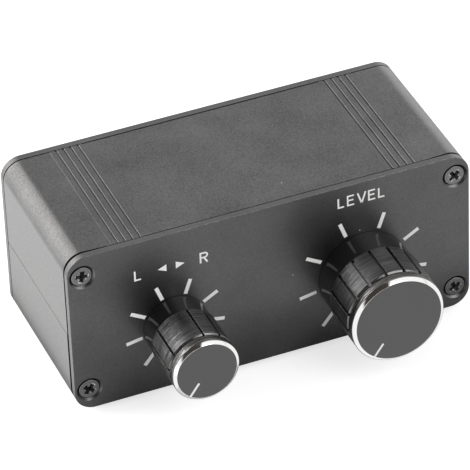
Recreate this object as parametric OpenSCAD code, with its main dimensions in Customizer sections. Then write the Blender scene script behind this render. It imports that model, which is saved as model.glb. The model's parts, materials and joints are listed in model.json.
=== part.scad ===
// Desktop stereo level and balance controller in a case of two extruded halves.
// X runs right, Y runs back and Z runs up, in millimetres.
// The origin lies on the table under the middle of the case, so the soles of the feet are at Z = 0.

/* [Case] */
// Width of the case
case_w = 88; // [80:1:120]
// Height of the case without its feet
case_h = 38; // [36:1:60]
// Depth of the case over both end plates
case_d = 38.6; // [37:0.2:80]
// Radius of the four long edges
corner_r = 4.35; // [3:0.05:6]
// Wall of the extruded halves
wall_t = 1.8; // [1.5:0.1:2.4]
// Thickness of the front and rear plates
plate_t = 1.5; // [1.2:0.1:2.2]
// Line left open between the halves on the outside
seam_gap = 0.1; // [0.05:0.05:0.3]
// Height of the tongue that locks one half into the other
tongue_h = 1.5; // [1:0.1:3]
// Thickness of the tongue
tongue_t = 0.8; // [0.6:0.05:1]
// Play between the tongue and its rebate
tongue_play = 0.05; // [0.03:0.01:0.15]

/* [Grooves along the case] */
// Grooves in each group
groove_n = 4; // [1:1:6]
// Distance from groove to groove
groove_pitch = 1.6; // [1.2:0.1:2]
// Width of a groove
groove_w = 0.6; // [0.4:0.1:1]
// Depth of a groove
groove_depth = 0.3; // [0.2:0.1:0.9]
// Distance from the side of the case to the middle of a group
groove_inset = 14; // [12:0.5:18]

/* [Screws] */
// Distance from the side of the case to a screw
screw_inset_x = 3.2; // [3:0.1:4.5]
// Distance from the top or bottom of the case to a screw
screw_inset_z = 4.8; // [4.4:0.1:6]
// Radius of the channel that takes a screw, outside
boss_r = 2.4; // [2.1:0.1:3]
// Slot that opens the channel towards the inside
boss_slot = 1.2; // [0.8:0.1:1.8]
// Radius of a screw's shank
shank_r = 1.3; // [1:0.05:1.5]
// Radius of a screw's head
head_r = 2.25; // [2:0.05:2.4]
// Radius of the countersink at the face of the plate
sink_r = 2.7; // [2.5:0.05:2.8]
// Length of a screw below the face of the plate
screw_l = 8; // [6:0.5:12]
// Play between a screw and its seat
screw_play = 0.05; // [0.03:0.01:0.1]
// Width of the cross recess
cross_w = 0.75; // [0.4:0.05:0.9]
// Span of the cross recess
cross_l = 2.3; // [1.8:0.1:2.8]
// Depth of the cross recess
cross_depth = 0.7; // [0.4:0.1:0.9]

/* [Feet] */
// Thickness of a foot
foot_t = 1.6; // [1:0.1:3]
// Radius of a foot where it sticks to the case
foot_r = 3.2; // [2.5:0.1:3.4]
// How much smaller the sole is than the top
foot_taper = 0.5; // [0.2:0.1:1]
// Distance from the side of the case to a foot
foot_inset_x = 7.8; // [7.5:0.1:8.2]
// Distance from the end of a half to a foot
foot_inset_y = 7; // [5:0.5:12]

/* [Circuit board] */
// Thickness of the board
board_t = 1.6; // [1:0.1:2]
// Play above and below the board in its slots
board_play = 0.05; // [0.03:0.01:0.2]
// Gap from the board's edges to the side walls and plates
board_margin = 0.3; // [0.2:0.1:1]
// Length of the rib over the board's edge
rib_l = 1.3; // [1:0.1:2]
// Thickness of that rib
rib_t = 1; // [0.8:0.1:1.5]
// Gap between the board and what stands on it
mount_gap = 0.1; // [0.05:0.05:0.3]
// How far leads reach out below the board
lead_below = 1.2; // [0.8:0.1:1.6]
// Radius of a thin lead
lead_r = 0.3; // [0.2:0.05:0.35]
// Play between a lead and its hole
lead_play = 0.15; // [0.1:0.05:0.25]

/* [Potentiometers] */
// Distance from the right side of the case to the volume dial
volume_inset = 24; // [22:0.5:28]
// Distance from the left side of the case to the balance dial
balance_inset = 22.4; // [20:0.2:28]
// Height of a dial's axis above the board
pot_axis_h = 6.5; // [6:0.1:8]
// Angle of a pointer at its stop, from the top, clockwise
stop_angle = -144; // [-150:1:-120]
// Radius of the threaded bushing
bush_r = 3.5; // [3.3:0.1:4]
// Length of the bushing from the back of the plate
bush_l = 7; // [6.5:0.1:8]
// Thickness of the bushing's base
bush_base_t = 1; // [0.8:0.1:1.5]
// Gap around the bushing in the plate
bush_play = 0.15; // [0.1:0.05:0.3]
// Thickness of the washer
washer_t = 0.5; // [0.3:0.1:0.6]
// Radius of the washer
washer_r = 5.5; // [5:0.1:5.7]
// Thickness of the nut
nut_t = 2; // [1.5:0.1:2.2]
// Width of the nut across its flats
nut_af = 10; // [9.5:0.1:10]
// Radius of the shaft inside the bushing
journal_r = 2.5; // [2:0.1:2.6]
// Running play of the shaft in the bushing
run_play = 0.05; // [0.02:0.01:0.08]
// Radius of the shaft where the knob sits
shaft_r = 3; // [2.8:0.1:3.2]
// Length of the shaft in front of the plate
shaft_l = 14; // [13:0.1:14.4]
// Width of the slot that splits the shaft
shaft_slot = 1; // [0.6:0.1:1.4]
// Length of that slot
shaft_slot_l = 6; // [3:0.5:7]
// Radius of the rotors' hub behind the bushing
hub_r = 1.6; // [1.2:0.1:2]
// Radius of a rotor
rotor_r = 3.9; // [3.4:0.1:4.2]
// Thickness of a rotor
rotor_t = 1.2; // [0.8:0.1:1.6]
// Thickness of a resistance wafer
wafer_t = 0.8; // [0.6:0.1:1.2]
// Free space around the rotors
rotor_gap = 0.4; // [0.35:0.05:0.6]
// Wall of the housing
housing_wall = 0.6; // [0.5:0.1:1]
// Rotors and wafers in one housing
gangs = 2; // [1:1:2]
// Distance from terminal to terminal
pin_pitch = 2.5; // [2:0.1:3]
// Width of a terminal
pin_w = 0.7; // [0.5:0.1:0.9]
// Thickness of a terminal
pin_t = 0.4; // [0.3:0.1:0.5]

/* [Knobs] */
// Gap between a knob and the plate
knob_gap = 0.4; // [0.3:0.1:1]
// Length of the volume knob
volume_l = 17.6; // [16.3:0.1:19]
// Length of the balance knob
balance_l = 16.7; // [16.3:0.1:18]
// Diameter of the volume knob
volume_d = 20.4; // [18:0.2:26]
// Diameter of the balance knob
balance_d = 14.4; // [14.2:0.1:18]
// Height of the volume knob's smooth skirt above the plate
volume_skirt = 6.3; // [4:0.1:8]
// Height of the balance knob's smooth skirt above the plate
balance_skirt = 5.2; // [4:0.1:8]
// Step from the grip down to the skirt
skirt_step = 0.25; // [0.1:0.05:0.3]
// Length of the rim, without its rounded edge
rim_l = 1.6; // [1:0.1:2.5]
// Width of the line turned in behind the rim
rim_line = 0.45; // [0.2:0.05:0.6]
// Depth of that line
rim_line_depth = 0.45; // [0.2:0.05:0.6]
// Rounding of the rim's front edge
edge_r = 0.35; // [0.2:0.05:0.6]
// Width of the volume knob's bright chamfer
volume_chamfer = 0.75; // [0.4:0.05:1.2]
// Width of the balance knob's bright chamfer
balance_chamfer = 0.65; // [0.4:0.05:1]
// Slope of the bright chamfers against the face
chamfer_angle = 41; // [20:1:45]
// Slots around the volume knob's grip
volume_slots = 16; // [8:1:24]
// Pairs of slots around the balance knob's grip
balance_pairs = 4; // [2:1:6]
// Angle between the two slots of a pair
pair_angle = 30; // [15:1:45]
// Width of the volume knob's slots
volume_slot_w = 0.6; // [0.3:0.05:0.8]
// Width of the balance knob's slots
balance_slot_w = 0.4; // [0.2:0.05:0.6]
// Depth of the slots
slot_depth = 0.6; // [0.2:0.05:0.6]
// Turn of the volume knob's slots against its pointer
volume_phase = 1; // [-10:1:10]
// Turn of the balance knob's slots against its pointer
balance_phase = -16; // [-45:1:45]
// Wall of the metal shell
shell_wall = 1.2; // [1.1:0.1:1.5]
// Thickness of the shell's face
face_t = 1.6; // [1.2:0.1:2]
// Play between the shell, the core and the shaft
knob_play = 0.03; // [0.02:0.01:0.08]
// Wall of the skirt around the nut
skirt_wall = 0.8; // [0.6:0.05:0.85]
// Free space between the knob and the fixed pieces inside it
knob_free = 0.5; // [0.35:0.05:0.8]
// Length of the pointer line
pointer_l = 3.4; // [2:0.1:5]
// Width of the pointer line
pointer_w = 0.5; // [0.4:0.1:1.2]
// Depth of the pointer line
pointer_depth = 0.25; // [0.1:0.05:0.4]

/* [Phono jacks] */
// Distance from the left side of the case to the middle of the input pair
input_inset = 16.5; // [16:0.5:18]
// Distance from the right side of the case to the middle of the output pair
output_inset = 37.5; // [36:0.5:38]
// Distance between the two jacks of a pair
jack_pitch = 14; // [12:0.5:14]
// Height of the jacks' axes above the board
jack_axis_h = 9.5; // [8:0.5:12]
// Radius of a jack's sleeve
sleeve_r = 4.15; // [4:0.05:4.2]
// Length of the sleeve behind the rear plate
sleeve_l = 9; // [7:0.5:12]
// Wall of the sleeve
sleeve_wall = 0.8; // [0.5:0.1:1]
// Rounding of the sleeve's end
sleeve_edge = 0.4; // [0.2:0.05:0.45]
// Gap around the sleeve in the rear plate
sleeve_gap = 0.35; // [0.2:0.05:0.6]
// How much thinner the sleeve is where it passes the plate
neck_set = 0.3; // [0.1:0.05:0.4]
// How far that neck reaches out of the plate
neck_out = 0.4; // [0.2:0.1:1]
// Radius of the sleeve's flange
flange_r = 5.4; // [5:0.1:5.8]
// Thickness of the flange
flange_t = 0.8; // [0.6:0.1:1.2]
// Radius of the hole for the plug's centre pin
jack_bore_r = 1.65; // [1.6:0.05:1.8]
// How far the insulator stays back in the sleeve
insulator_set = 0.6; // [0.3:0.1:1.5]
// How much wider the centre contact's tube is than that hole
contact_set = 0.3; // [0.2:0.05:0.5]
// Wall of the centre contact
contact_wall = 0.4; // [0.3:0.05:0.6]
// Width of the contact's tail
tail_w = 1.4; // [1:0.1:1.8]
// Thickness of the contact's tail
tail_t = 0.5; // [0.3:0.1:0.7]
// Play between the pieces of a jack
jack_play = 0.05; // [0.02:0.01:0.1]
// Depth of the jack block
block_d = 12; // [10:0.5:13]
// Material of the block outside the jacks' axes
block_side = 5.8; // [5.6:0.1:6.2]
// Height of the block above the jacks' axes
block_above = 6.4; // [6:0.1:8]
// Radius of the block's upper edges
block_edge = 1.2; // [0.5:0.1:2]

/* [Supply jack] */
// Distance from the right side of the case to the supply jack
supply_inset = 13.5; // [12:0.5:15]
// Height of the jack's axis above the board
supply_axis_h = 6.5; // [6:0.5:8]
// Width of the jack's body
supply_w = 9; // [8.6:0.1:10]
// Depth of the body
supply_d = 13; // [11:0.5:13.5]
// Radius of the round nose in the rear plate
nose_r = 3.95; // [3.8:0.05:4.2]
// Radius of the socket
socket_r = 3.15; // [3:0.05:3.3]
// Depth of the socket
socket_l = 10; // [8:0.5:10.5]
// Radius of the centre pin
supply_pin_r = 1.05; // [1:0.05:1.25]
// How far the pin stays back from the mouth
supply_pin_set = 1; // [0.5:0.1:2]
// Width of a solder blade
blade_w = 2; // [1.5:0.1:2.5]
// Thickness of a solder blade
blade_t = 0.5; // [0.3:0.1:0.8]

/* [Components on the board] */
// Length of an amplifier chip
chip_l = 9.6; // [9:0.1:10]
// Width of a chip's body
chip_w = 6.4; // [6:0.1:6.6]
// Height of a chip's body
chip_h = 3.3; // [2.5:0.1:4]
// Distance between a chip's two rows of legs
chip_row = 7.62; // [7.2:0.02:8]
// Distance from leg to leg
leg_pitch = 2.54; // [2.2:0.02:2.6]
// Legs in a row
legs = 4; // [3:1:4]
// Height of a chip socket
socket_h = 4.2; // [3:0.1:6]
// Width of a rail of the chip socket
rail_w = 2.4; // [2:0.1:2.6]
// Thickness of the bridges that join the rails
bridge_w = 1.6; // [1:0.1:2]
// Distance between the two chips
chip_pitch = 18; // [16:0.5:20]
// Radius of a supply capacitor
supply_cap_r = 4; // [3:0.1:4.2]
// Height of a supply capacitor
supply_cap_h = 12; // [8:0.5:16]
// Radius of a coupling capacitor
coupling_cap_r = 2.5; // [2:0.1:3]
// Height of a coupling capacitor
coupling_cap_h = 9; // [6:0.5:12]
// Turned-in neck of a capacitor's can
cap_neck = 0.3; // [0.2:0.05:0.5]
// Distance from the side of the case to the outer capacitors
cap_inset = 8.5; // [8:0.1:9]
// Distance from a supply capacitor to the next
supply_cap_pitch = 9; // [8.6:0.1:9.5]
// Distance from a coupling capacitor to the next
coupling_cap_pitch = 6.5; // [6.2:0.1:7]
// Length of a film capacitor
film_l = 7.2; // [6:0.1:7.5]
// Thickness of a film capacitor
film_t = 2.5; // [2:0.1:3.5]
// Height of a film capacitor
film_h = 6.5; // [5:0.5:9]
// Number of film capacitors
film_n = 4; // [2:1:4]
// Distance from a film capacitor to the next
film_pitch = 6; // [4.5:0.5:6]
// Distance from the front plate to the film capacitors' middle
film_inset = 5; // [4.6:0.1:5.2]
// Radius of a resistor
resistor_r = 1.15; // [0.8:0.05:1.3]
// Length of a resistor's body
resistor_l = 4.6; // [3:0.1:5]
// Distance between a resistor's leads
resistor_span = 6; // [5.6:0.1:6.2]
// Gap from a resistor to what lies beside it
resistor_gap = 1; // [0.8:0.1:1.2]

/* [Hidden] */
$fn = 64;
slack = 0.01;
eps = 1;

// The extruded halves and the end plates
shell_l = case_d - 2 * plate_t;
half_h = case_h / 2;
front_y = -case_d / 2;
rear_y = case_d / 2;
screw_x = case_w / 2 - screw_inset_x;
screw_places = [for (side = [-1, 1], z = [screw_inset_z, case_h - screw_inset_z]) [side * screw_x, z]];
shank_hole_r = shank_r + screw_play;

// The board lies on the ledges beside the lower screw channels
ledge_h = screw_inset_z + boss_r;
board_z = ledge_h + board_play;
board_top = board_z + board_t;
board_w = case_w - 2 * (wall_t + board_margin);
board_l = shell_l - 2 * board_margin;
lead_hole_r = lead_r + lead_play;

// The dials
dial_z = board_top + pot_axis_h;
volume_x = case_w / 2 - volume_inset;
balance_x = balance_inset - case_w / 2;
bush_out = bush_l - plate_t;
nut_top = washer_t + nut_t;
cavity_r = rotor_r + rotor_gap;
gang_l = rotor_t + wafer_t + 2 * rotor_gap;
housing_z = -plate_t - bush_base_t;
housing_l = gangs * gang_l + housing_wall;
housing_r = cavity_r + housing_wall;
pot_below = pot_axis_h - mount_gap;
pot_back_y = front_y + plate_t + bush_base_t + housing_l;

// The rear jacks
jack_z = board_top + jack_axis_h;
input_x = input_inset - case_w / 2;
output_x = case_w / 2 - output_inset;
flange_z = -plate_t - flange_t;
insulator_r = sleeve_r - sleeve_wall - jack_play;
contact_r = jack_bore_r + contact_set + contact_wall;
block_back = -plate_t - block_d;
block_front_y = rear_y + block_back - tail_t;
supply_x = case_w / 2 - supply_inset;
supply_z = board_top + supply_axis_h;
supply_back = -plate_t - supply_d;

// Places of the components on the board, in X and Y
middle_y = (pot_back_y + block_front_y) / 2;
leg_rows = [for (side = [-1, 1], i = [0:legs - 1]) [(i - (legs - 1) / 2) * leg_pitch, side * chip_row / 2]];
socket_l_x = legs * leg_pitch;
supply_caps = [for (i = [0, 1]) [case_w / 2 - cap_inset - i * supply_cap_pitch, middle_y]];
coupling_caps = [for (i = [0, 1], side = [-1, 1])
    [cap_inset - case_w / 2 + i * coupling_cap_pitch, middle_y + side * coupling_cap_pitch / 2]];
films = [for (i = [0:film_n - 1]) [(i - (film_n - 1) / 2) * film_pitch, front_y + plate_t + film_inset]];
resistor_inner_x = resistor_gap / 2 + resistor_r;
resistor_outer_x = (chip_pitch + socket_l_x) / 2 + resistor_gap + resistor_r;
resistors_at = [for (side = [-1, 1], x = [resistor_inner_x, resistor_outer_x]) [side * x, middle_y]];

// Frames: Z outwards from the face of a plate, Y up
module on_front(x, z) {
    translate([x, front_y, foot_t + z])
        rotate([90, 0, 0])
            children();
}

module on_rear(x, z) {
    translate([x, rear_y, foot_t + z])
        rotate([90, 0, 180])
            children();
}

module on_board(place, turn = 0) {
    translate([place[0], place[1], foot_t + board_top])
        rotate([0, 0, turn])
            children();
}

// A ring or disc about Z between two heights
module disc(r, from, to) {
    translate([0, 0, from])
        cylinder(r = r, h = to - from);
}

// A bar along Z whose middle line runs through the given place
module bar(size_x, size_y, from, to) {
    translate([-size_x / 2, -size_y / 2, from])
        cube([size_x, size_y, to - from]);
}

// Outline of the case, standing on Y = 0
module outline(w, h, r) {
    translate([-w / 2, r])
        square([w, h - 2 * r]);
    translate([r - w / 2, 0])
        square([w - 2 * r, h]);
    for (x = [r - w / 2, w / 2 - r], y = [r, h - r])
        translate([x, y])
            circle(r = r);
}

// Section of one half: the same extrusion serves as floor and, turned over, as roof
module half_section() {
    seam = half_h - seam_gap / 2;
    inner_r = max(corner_r - wall_t, slack);
    rib_y = board_top + board_play;
    difference() {
        intersection() {
            outline(case_w, case_h, corner_r);
            union() {
                difference() {
                    translate([-case_w / 2, 0])
                        square([case_w, seam]);
                    translate([0, wall_t])
                        outline(case_w - 2 * wall_t, case_h - 2 * wall_t, inner_r);
                }
                for (side = [0, 1])
                    mirror([side, 0]) {
                        translate([screw_x, screw_inset_z])
                            circle(r = boss_r);
                        translate([screw_x, 0])
                            square([screw_inset_x, ledge_h]);
                        translate([case_w / 2 - wall_t - rib_l, rib_y])
                            square([wall_t + rib_l, rib_t]);
                        translate([screw_x - boss_r, 0])
                            square([boss_r, screw_inset_z]);
                    }
                // Tongue on the left
                translate([tongue_play - case_w / 2 + wall_t - tongue_t, half_h - wall_t])
                    square([tongue_t - tongue_play, wall_t + tongue_h]);
            }
        }
        // Rebate on the right for the other half's tongue
        translate([case_w / 2 - wall_t - slack, half_h - tongue_h - tongue_play])
            square([tongue_t + slack, tongue_h + wall_t]);
        // Screw channels, each open towards the inside through a slot
        for (side = [0, 1])
            mirror([side, 0])
                translate([screw_x, screw_inset_z]) {
                    circle(r = shank_hole_r);
                    translate([-2 * boss_r, -boss_slot / 2])
                        square([2 * boss_r, boss_slot]);
                }
        for (side = [-1, 1], i = [0:groove_n - 1])
            translate([side * (case_w / 2 - groove_inset) + (i - (groove_n - 1) / 2) * groove_pitch, 0])
                translate([-groove_w / 2, -eps])
                    square([groove_w, groove_depth + eps]);
    }
}

module half_shell() {
    translate([0, shell_l / 2, foot_t])
        rotate([90, 0, 0])
            linear_extrude(height = shell_l)
                half_section();
}

module lower_shell() {
    color("dimgray")
        half_shell();
}

module upper_shell() {
    color("dimgray")
        translate([0, 0, 2 * foot_t + case_h])
            rotate([0, 180, 0])
                half_shell();
}

// Plate with countersunk holes, its face at Z = 0
module end_plate() {
    difference() {
        translate([0, 0, -plate_t])
            linear_extrude(height = plate_t)
                outline(case_w, case_h, corner_r);
        for (place = screw_places)
            translate(place) {
                disc(shank_hole_r, -plate_t - eps, eps);
                translate([0, 0, shank_hole_r - sink_r])
                    cylinder(r1 = shank_hole_r, r2 = sink_r + slack, h = sink_r - shank_hole_r + slack);
            }
    }
}

module front_panel() {
    color("dimgray")
        on_front(0, 0)
            difference() {
                end_plate();
                for (x = [volume_x, balance_x])
                    translate([x, dial_z])
                        disc(bush_r + bush_play, -plate_t - eps, eps);
            }
}

module rear_panel() {
    color("dimgray")
        on_rear(0, 0)
            difference() {
                end_plate();
                for (x = [input_x, output_x], side = [-1, 1])
                    translate([-x + side * jack_pitch / 2, jack_z])
                        disc(sleeve_r + sleeve_gap, -plate_t - eps, eps);
                translate([-supply_x, supply_z])
                    disc(nose_r + sleeve_gap, -plate_t - eps, eps);
            }
}

// Countersunk screw with a cross recess, sunk until its head meets the cone
module screw() {
    top = head_r + screw_play - sink_r;
    neck = top - head_r + shank_r;
    difference() {
        union() {
            translate([0, 0, neck])
                cylinder(r1 = shank_r, r2 = head_r, h = top - neck);
            disc(shank_r, -screw_l, neck + slack);
        }
        bar(cross_w, cross_l, top - cross_depth, top + eps);
        bar(cross_l, cross_w, top - cross_depth, top + eps);
    }
}

module front_screws() {
    color("black")
        on_front(0, 0)
            for (place = screw_places)
                translate(place)
                    screw();
}

module rear_screws() {
    color("black")
        on_rear(0, 0)
            for (place = screw_places)
                translate(place)
                    screw();
}

module foot(side_x, side_y) {
    color("black")
        translate([side_x * (case_w / 2 - foot_inset_x), side_y * (shell_l / 2 - foot_inset_y), 0])
            cylinder(r1 = foot_r - foot_taper, r2 = foot_r, h = foot_t);
}

// Metal shell of a knob, turned from bar: a grip, a line behind the rim and a bright chamfer.
// The section of the slotted grip is given as a child, with the pointer at the top of its plane.
module knob_shell(l, d, skirt_z, chamfer) {
    top = knob_gap + l;
    rim_z = top - chamfer * tan(chamfer_angle) - edge_r - rim_l;
    face_r = d / 2 - edge_r - chamfer;
    color("black")
        rotate([0, 0, -stop_angle])
            difference() {
                union() {
                    translate([0, 0, skirt_z])
                        linear_extrude(height = rim_z - rim_line - skirt_z)
                            children();
                    rotate_extrude()
                        rim_profile(d / 2, face_r, rim_z, top);
                }
                disc(d / 2 - shell_wall, skirt_z - eps, top - face_t);
                translate([-pointer_w / 2, face_r - pointer_l, top - pointer_depth])
                    cube([pointer_w, d, pointer_depth + eps]);
            }
}

// Circle with a slot at each of the given angles, clockwise from the pointer
module grip_section(r, turns, slot_w) {
    difference() {
        circle(r = r);
        for (turn = turns)
            rotate(-turn)
                translate([-slot_w / 2, r - slot_depth])
                    square([slot_w, slot_depth + eps]);
    }
}

// Half profile of the turned front end, radius along X
module rim_profile(rim_r, face_r, rim_z, top) {
    edge_z = rim_z + rim_l;
    translate([0, rim_z - 2 * rim_line])
        square([rim_r - rim_line_depth, 2 * rim_line + slack]);
    translate([0, rim_z])
        square([rim_r, rim_l]);
    translate([rim_r - edge_r, edge_z])
        intersection() {
            circle(r = edge_r);
            square(edge_r);
        }
    polygon([
        [0, edge_z - slack],
        [rim_r - edge_r, edge_z - slack],
        [rim_r - edge_r, edge_z + edge_r],
        [face_r, top],
        [0, top]
    ]);
}

module volume_knob_shell() {
    turns = [for (i = [0:volume_slots - 1]) volume_phase + i * 360 / volume_slots];
    on_front(volume_x, dial_z)
        knob_shell(volume_l, volume_d, volume_skirt, volume_chamfer)
            grip_section(volume_d / 2, turns, volume_slot_w);
}

module balance_knob_shell() {
    middles = [for (i = [0:balance_pairs - 1]) balance_phase + i * 360 / balance_pairs];
    turns = [for (middle = middles, side = [-1, 1]) middle + side * pair_angle / 2];
    on_front(balance_x, dial_z)
        knob_shell(balance_l, balance_d, balance_skirt, balance_chamfer)
            grip_section(balance_d / 2, turns, balance_slot_w);
}

// Moulded core: a smooth skirt over the nut and a hub on the shaft
module knob_core(l, d, skirt_z) {
    skirt_r = d / 2 - skirt_step;
    inner_r = d / 2 - shell_wall - knob_play;
    core_top = knob_gap + l - face_t - knob_play;
    nut_room = nut_top + knob_free;
    color("black")
        difference() {
            union() {
                disc(skirt_r, knob_gap, skirt_z - knob_play);
                disc(inner_r, knob_gap, core_top);
            }
            disc(skirt_r - skirt_wall, knob_gap - eps, nut_room);
            disc(bush_r + knob_free, knob_gap - eps, bush_out + knob_free);
            disc(shaft_r + knob_play, knob_gap - eps, shaft_l + knob_free);
        }
}

// Shaft: a split end for the knob, a journal in the bushing and a thin tail for the rotors
module pot_shaft() {
    tail_end = housing_z - (gangs - 1) * gang_l - rotor_gap - rotor_t;
    color("silver")
        rotate([0, 0, -stop_angle])
            difference() {
                union() {
                    disc(shaft_r, bush_out + rotor_gap, shaft_l);
                    disc(journal_r, housing_z - rotor_gap + knob_play, bush_out + rotor_gap + slack);
                    disc(hub_r, tail_end, housing_z);
                }
                bar(shaft_slot, 3 * shaft_r, shaft_l - shaft_slot_l, shaft_l + eps);
            }
}

// Rotors that carry the sliding contacts, each with a gap where its stop is
module pot_rotors() {
    color("ivory")
        rotate([0, 0, -stop_angle])
            for (i = [0:gangs - 1])
                translate([0, 0, housing_z - rotor_gap - i * gang_l])
                    difference() {
                        disc(rotor_r, -rotor_t, 0);
                        disc(hub_r + knob_play, -rotor_t - eps, eps);
                        translate([-hub_r, hub_r + rotor_gap, -rotor_t - eps])
                            cube([2 * hub_r, rotor_r, rotor_t + 2 * eps]);
                    }
}

module pot_bushing() {
    color("goldenrod")
        difference() {
            union() {
                translate([-housing_r, -pot_below, housing_z])
                    cube([2 * housing_r, pot_below + housing_r, bush_base_t]);
                disc(bush_r, housing_z, bush_out);
            }
            disc(journal_r + run_play, housing_z - eps, bush_out + eps);
        }
}

module pot_washer() {
    color("silver")
        difference() {
            disc(washer_r, 0, washer_t);
            disc(bush_r + bush_play, -eps, washer_t + eps);
        }
}

module pot_nut() {
    color("silver")
        difference() {
            translate([0, 0, washer_t])
                cylinder(r = nut_af / 2 / cos(30), h = nut_t, $fn = 6);
            disc(bush_r + screw_play, -eps, nut_top + eps);
        }
}

// Middle of a gang's wafer along Z
function wafer_z(i) = housing_z - i * gang_l - 2 * rotor_gap - rotor_t - wafer_t / 2;
pin_places = [for (i = [0:gangs - 1], j = [-1:1]) [j * pin_pitch, wafer_z(i)]];

module pot_housing() {
    color("dimgray")
        difference() {
            translate([-housing_r, -pot_below, housing_z - housing_l])
                cube([2 * housing_r, pot_below + housing_r, housing_l]);
            disc(cavity_r, housing_z - gangs * gang_l, housing_z + eps);
            for (place = pin_places)
                translate([place[0] - pin_w / 2 - screw_play, -pot_below - eps, place[1] - pin_t / 2 - screw_play])
                    cube([pin_w + 2 * screw_play, pot_below + eps, pin_t + 2 * screw_play]);
        }
}

// Wafers with the resistance tracks; the rotors' hub passes through all but the last
module pot_wafers() {
    color("saddlebrown")
        for (i = [0:gangs - 1])
            translate([0, 0, wafer_z(i)])
                difference() {
                    disc(cavity_r - knob_play, -wafer_t / 2, wafer_t / 2);
                    if (i < gangs - 1)
                        disc(hub_r + rotor_gap, -wafer_t, wafer_t);
                }
}

module pot_terminals() {
    color("silver")
        for (place = pin_places)
            translate([place[0], 0, place[1]])
                translate([-pin_w / 2, -pot_axis_h - board_t - lead_below, -pin_t / 2])
                    cube([pin_w, pot_axis_h + board_t + lead_below - cavity_r - knob_play, pin_t]);
}

// Places on the board where something passes through, with the radius of the hole
function pot_holes(x) = [for (p = pin_places) [x + p[0], front_y - p[1], pin_w / 2 + lead_play]];
function pair_holes(at, span) = [for (p = at, side = [-1, 1]) [p[0], p[1] + side * span / 2, lead_hole_r]];
function chip_holes(x) = [for (p = leg_rows) [x + p[0], middle_y + p[1], lead_hole_r]];
function jack_holes(x) = [for (side = [-1, 1])
    [x + side * jack_pitch / 2, rear_y + block_back - jack_play - tail_t / 2, tail_w / 2 + lead_play]];
blade_ys = [rear_y + supply_back + blade_t, rear_y + supply_back + supply_d / 2];
board_holes = concat(
    pot_holes(volume_x), pot_holes(balance_x), jack_holes(input_x), jack_holes(output_x),
    chip_holes(-chip_pitch / 2), chip_holes(chip_pitch / 2),
    pair_holes(supply_caps, supply_cap_r), pair_holes(coupling_caps, coupling_cap_r),
    pair_holes(films, film_l - film_t), pair_holes(resistors_at, resistor_span),
    [for (y = blade_ys) [supply_x, y, blade_w / 2 + lead_play]]
);

module circuit_board() {
    color("darkgreen")
        translate([0, 0, foot_t + board_z])
            difference() {
                bar(board_w, board_l, 0, board_t);
                for (hole = board_holes)
                    translate([hole[0], hole[1], 0])
                        disc(hole[2], -eps, board_t + eps);
            }
}

module lead(from) {
    disc(lead_r, -board_t - lead_below, from);
}

// Socket: two rails joined by bridges, with a pin under every leg
module chip_socket(side) {
    color("black")
        on_board([side * chip_pitch / 2, middle_y]) {
            difference() {
                bar(socket_l_x, chip_row + rail_w, mount_gap, socket_h);
                bar(socket_l_x - 2 * bridge_w, chip_row - rail_w, -eps, socket_h + eps);
            }
            for (place = leg_rows)
                translate(place)
                    lead(mount_gap + slack);
        }
}

// Chip: a body with a notch at one end and bent legs that stand on the socket
module amplifier_chip(side) {
    leg_w = 2 * lead_r;
    leg_h = chip_h / 2;
    color("dimgray")
        on_board([side * chip_pitch / 2, middle_y])
            translate([0, 0, socket_h + slack]) {
                difference() {
                    bar(chip_l, chip_w, leg_w / 2, leg_w / 2 + chip_h);
                    translate([-chip_l / 2, 0, chip_h])
                        disc(leg_w, 0, chip_h);
                }
                for (place = leg_rows)
                    translate([place[0], 0, 0]) {
                        translate([0, place[1], 0])
                            bar(leg_w, lead_r, 0, leg_h);
                        translate([0, sign(place[1]) * (chip_w / 2 + abs(place[1])) / 2, leg_h])
                            bar(leg_w, abs(place[1]) - chip_w / 2 + lead_r, -lead_r, 0);
                    }
            }
}

// Upright can with a turned-in neck near the board
module can(r, h) {
    neck_z = mount_gap + 2 * r / 3;
    difference() {
        disc(r, mount_gap, h);
        translate([0, 0, neck_z])
            rotate_extrude()
                translate([r, 0])
                    circle(r = cap_neck);
    }
    for (side = [-1, 1])
        translate([0, side * r / 2])
            lead(mount_gap + slack);
}

module supply_capacitors() {
    color("darkslateblue")
        for (place = supply_caps)
            on_board(place)
                can(supply_cap_r, supply_cap_h);
}

module coupling_capacitors() {
    color("darkslategray")
        for (place = coupling_caps)
            on_board(place)
                can(coupling_cap_r, coupling_cap_h);
}

module film_capacitors() {
    color("firebrick")
        for (place = films)
            on_board(place) {
                bar(film_t, film_l, mount_gap, film_h);
                for (side = [-1, 1])
                    translate([0, side * (film_l - film_t) / 2])
                        lead(mount_gap + slack);
            }
}

// Lying resistor: a body with thicker end caps and leads bent down at both ends
module resistor() {
    axis_z = resistor_r + mount_gap;
    cap_l = resistor_l / 4;
    translate([0, 0, axis_z])
        rotate([90, 0, 0]) {
            disc(resistor_r - lead_r / 2, -resistor_l / 2, resistor_l / 2);
            for (end = [-resistor_l / 2, resistor_l / 2 - cap_l])
                disc(resistor_r, end, end + cap_l);
            disc(lead_r, -resistor_span / 2, resistor_span / 2);
        }
    for (side = [-1, 1])
        translate([0, side * resistor_span / 2])
            lead(axis_z + lead_r);
}

module resistors() {
    color("burlywood")
        for (place = resistors_at)
            on_board(place)
                resistor();
}

// Moulded block that holds a pair of jacks
module jack_block(x) {
    half_w = jack_pitch / 2 + block_side;
    below = jack_axis_h - mount_gap;
    color("black")
        on_rear(x, jack_z)
            difference() {
                translate([0, -below, block_back])
                    linear_extrude(height = block_d)
                        block_section(2 * half_w, below + block_above);
                for (side = [-1, 1])
                    translate([side * jack_pitch / 2, 0]) {
                        disc(flange_r + jack_play, flange_z - jack_play, eps);
                        disc(contact_r + jack_play, block_back - eps, eps);
                    }
            }
}

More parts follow.
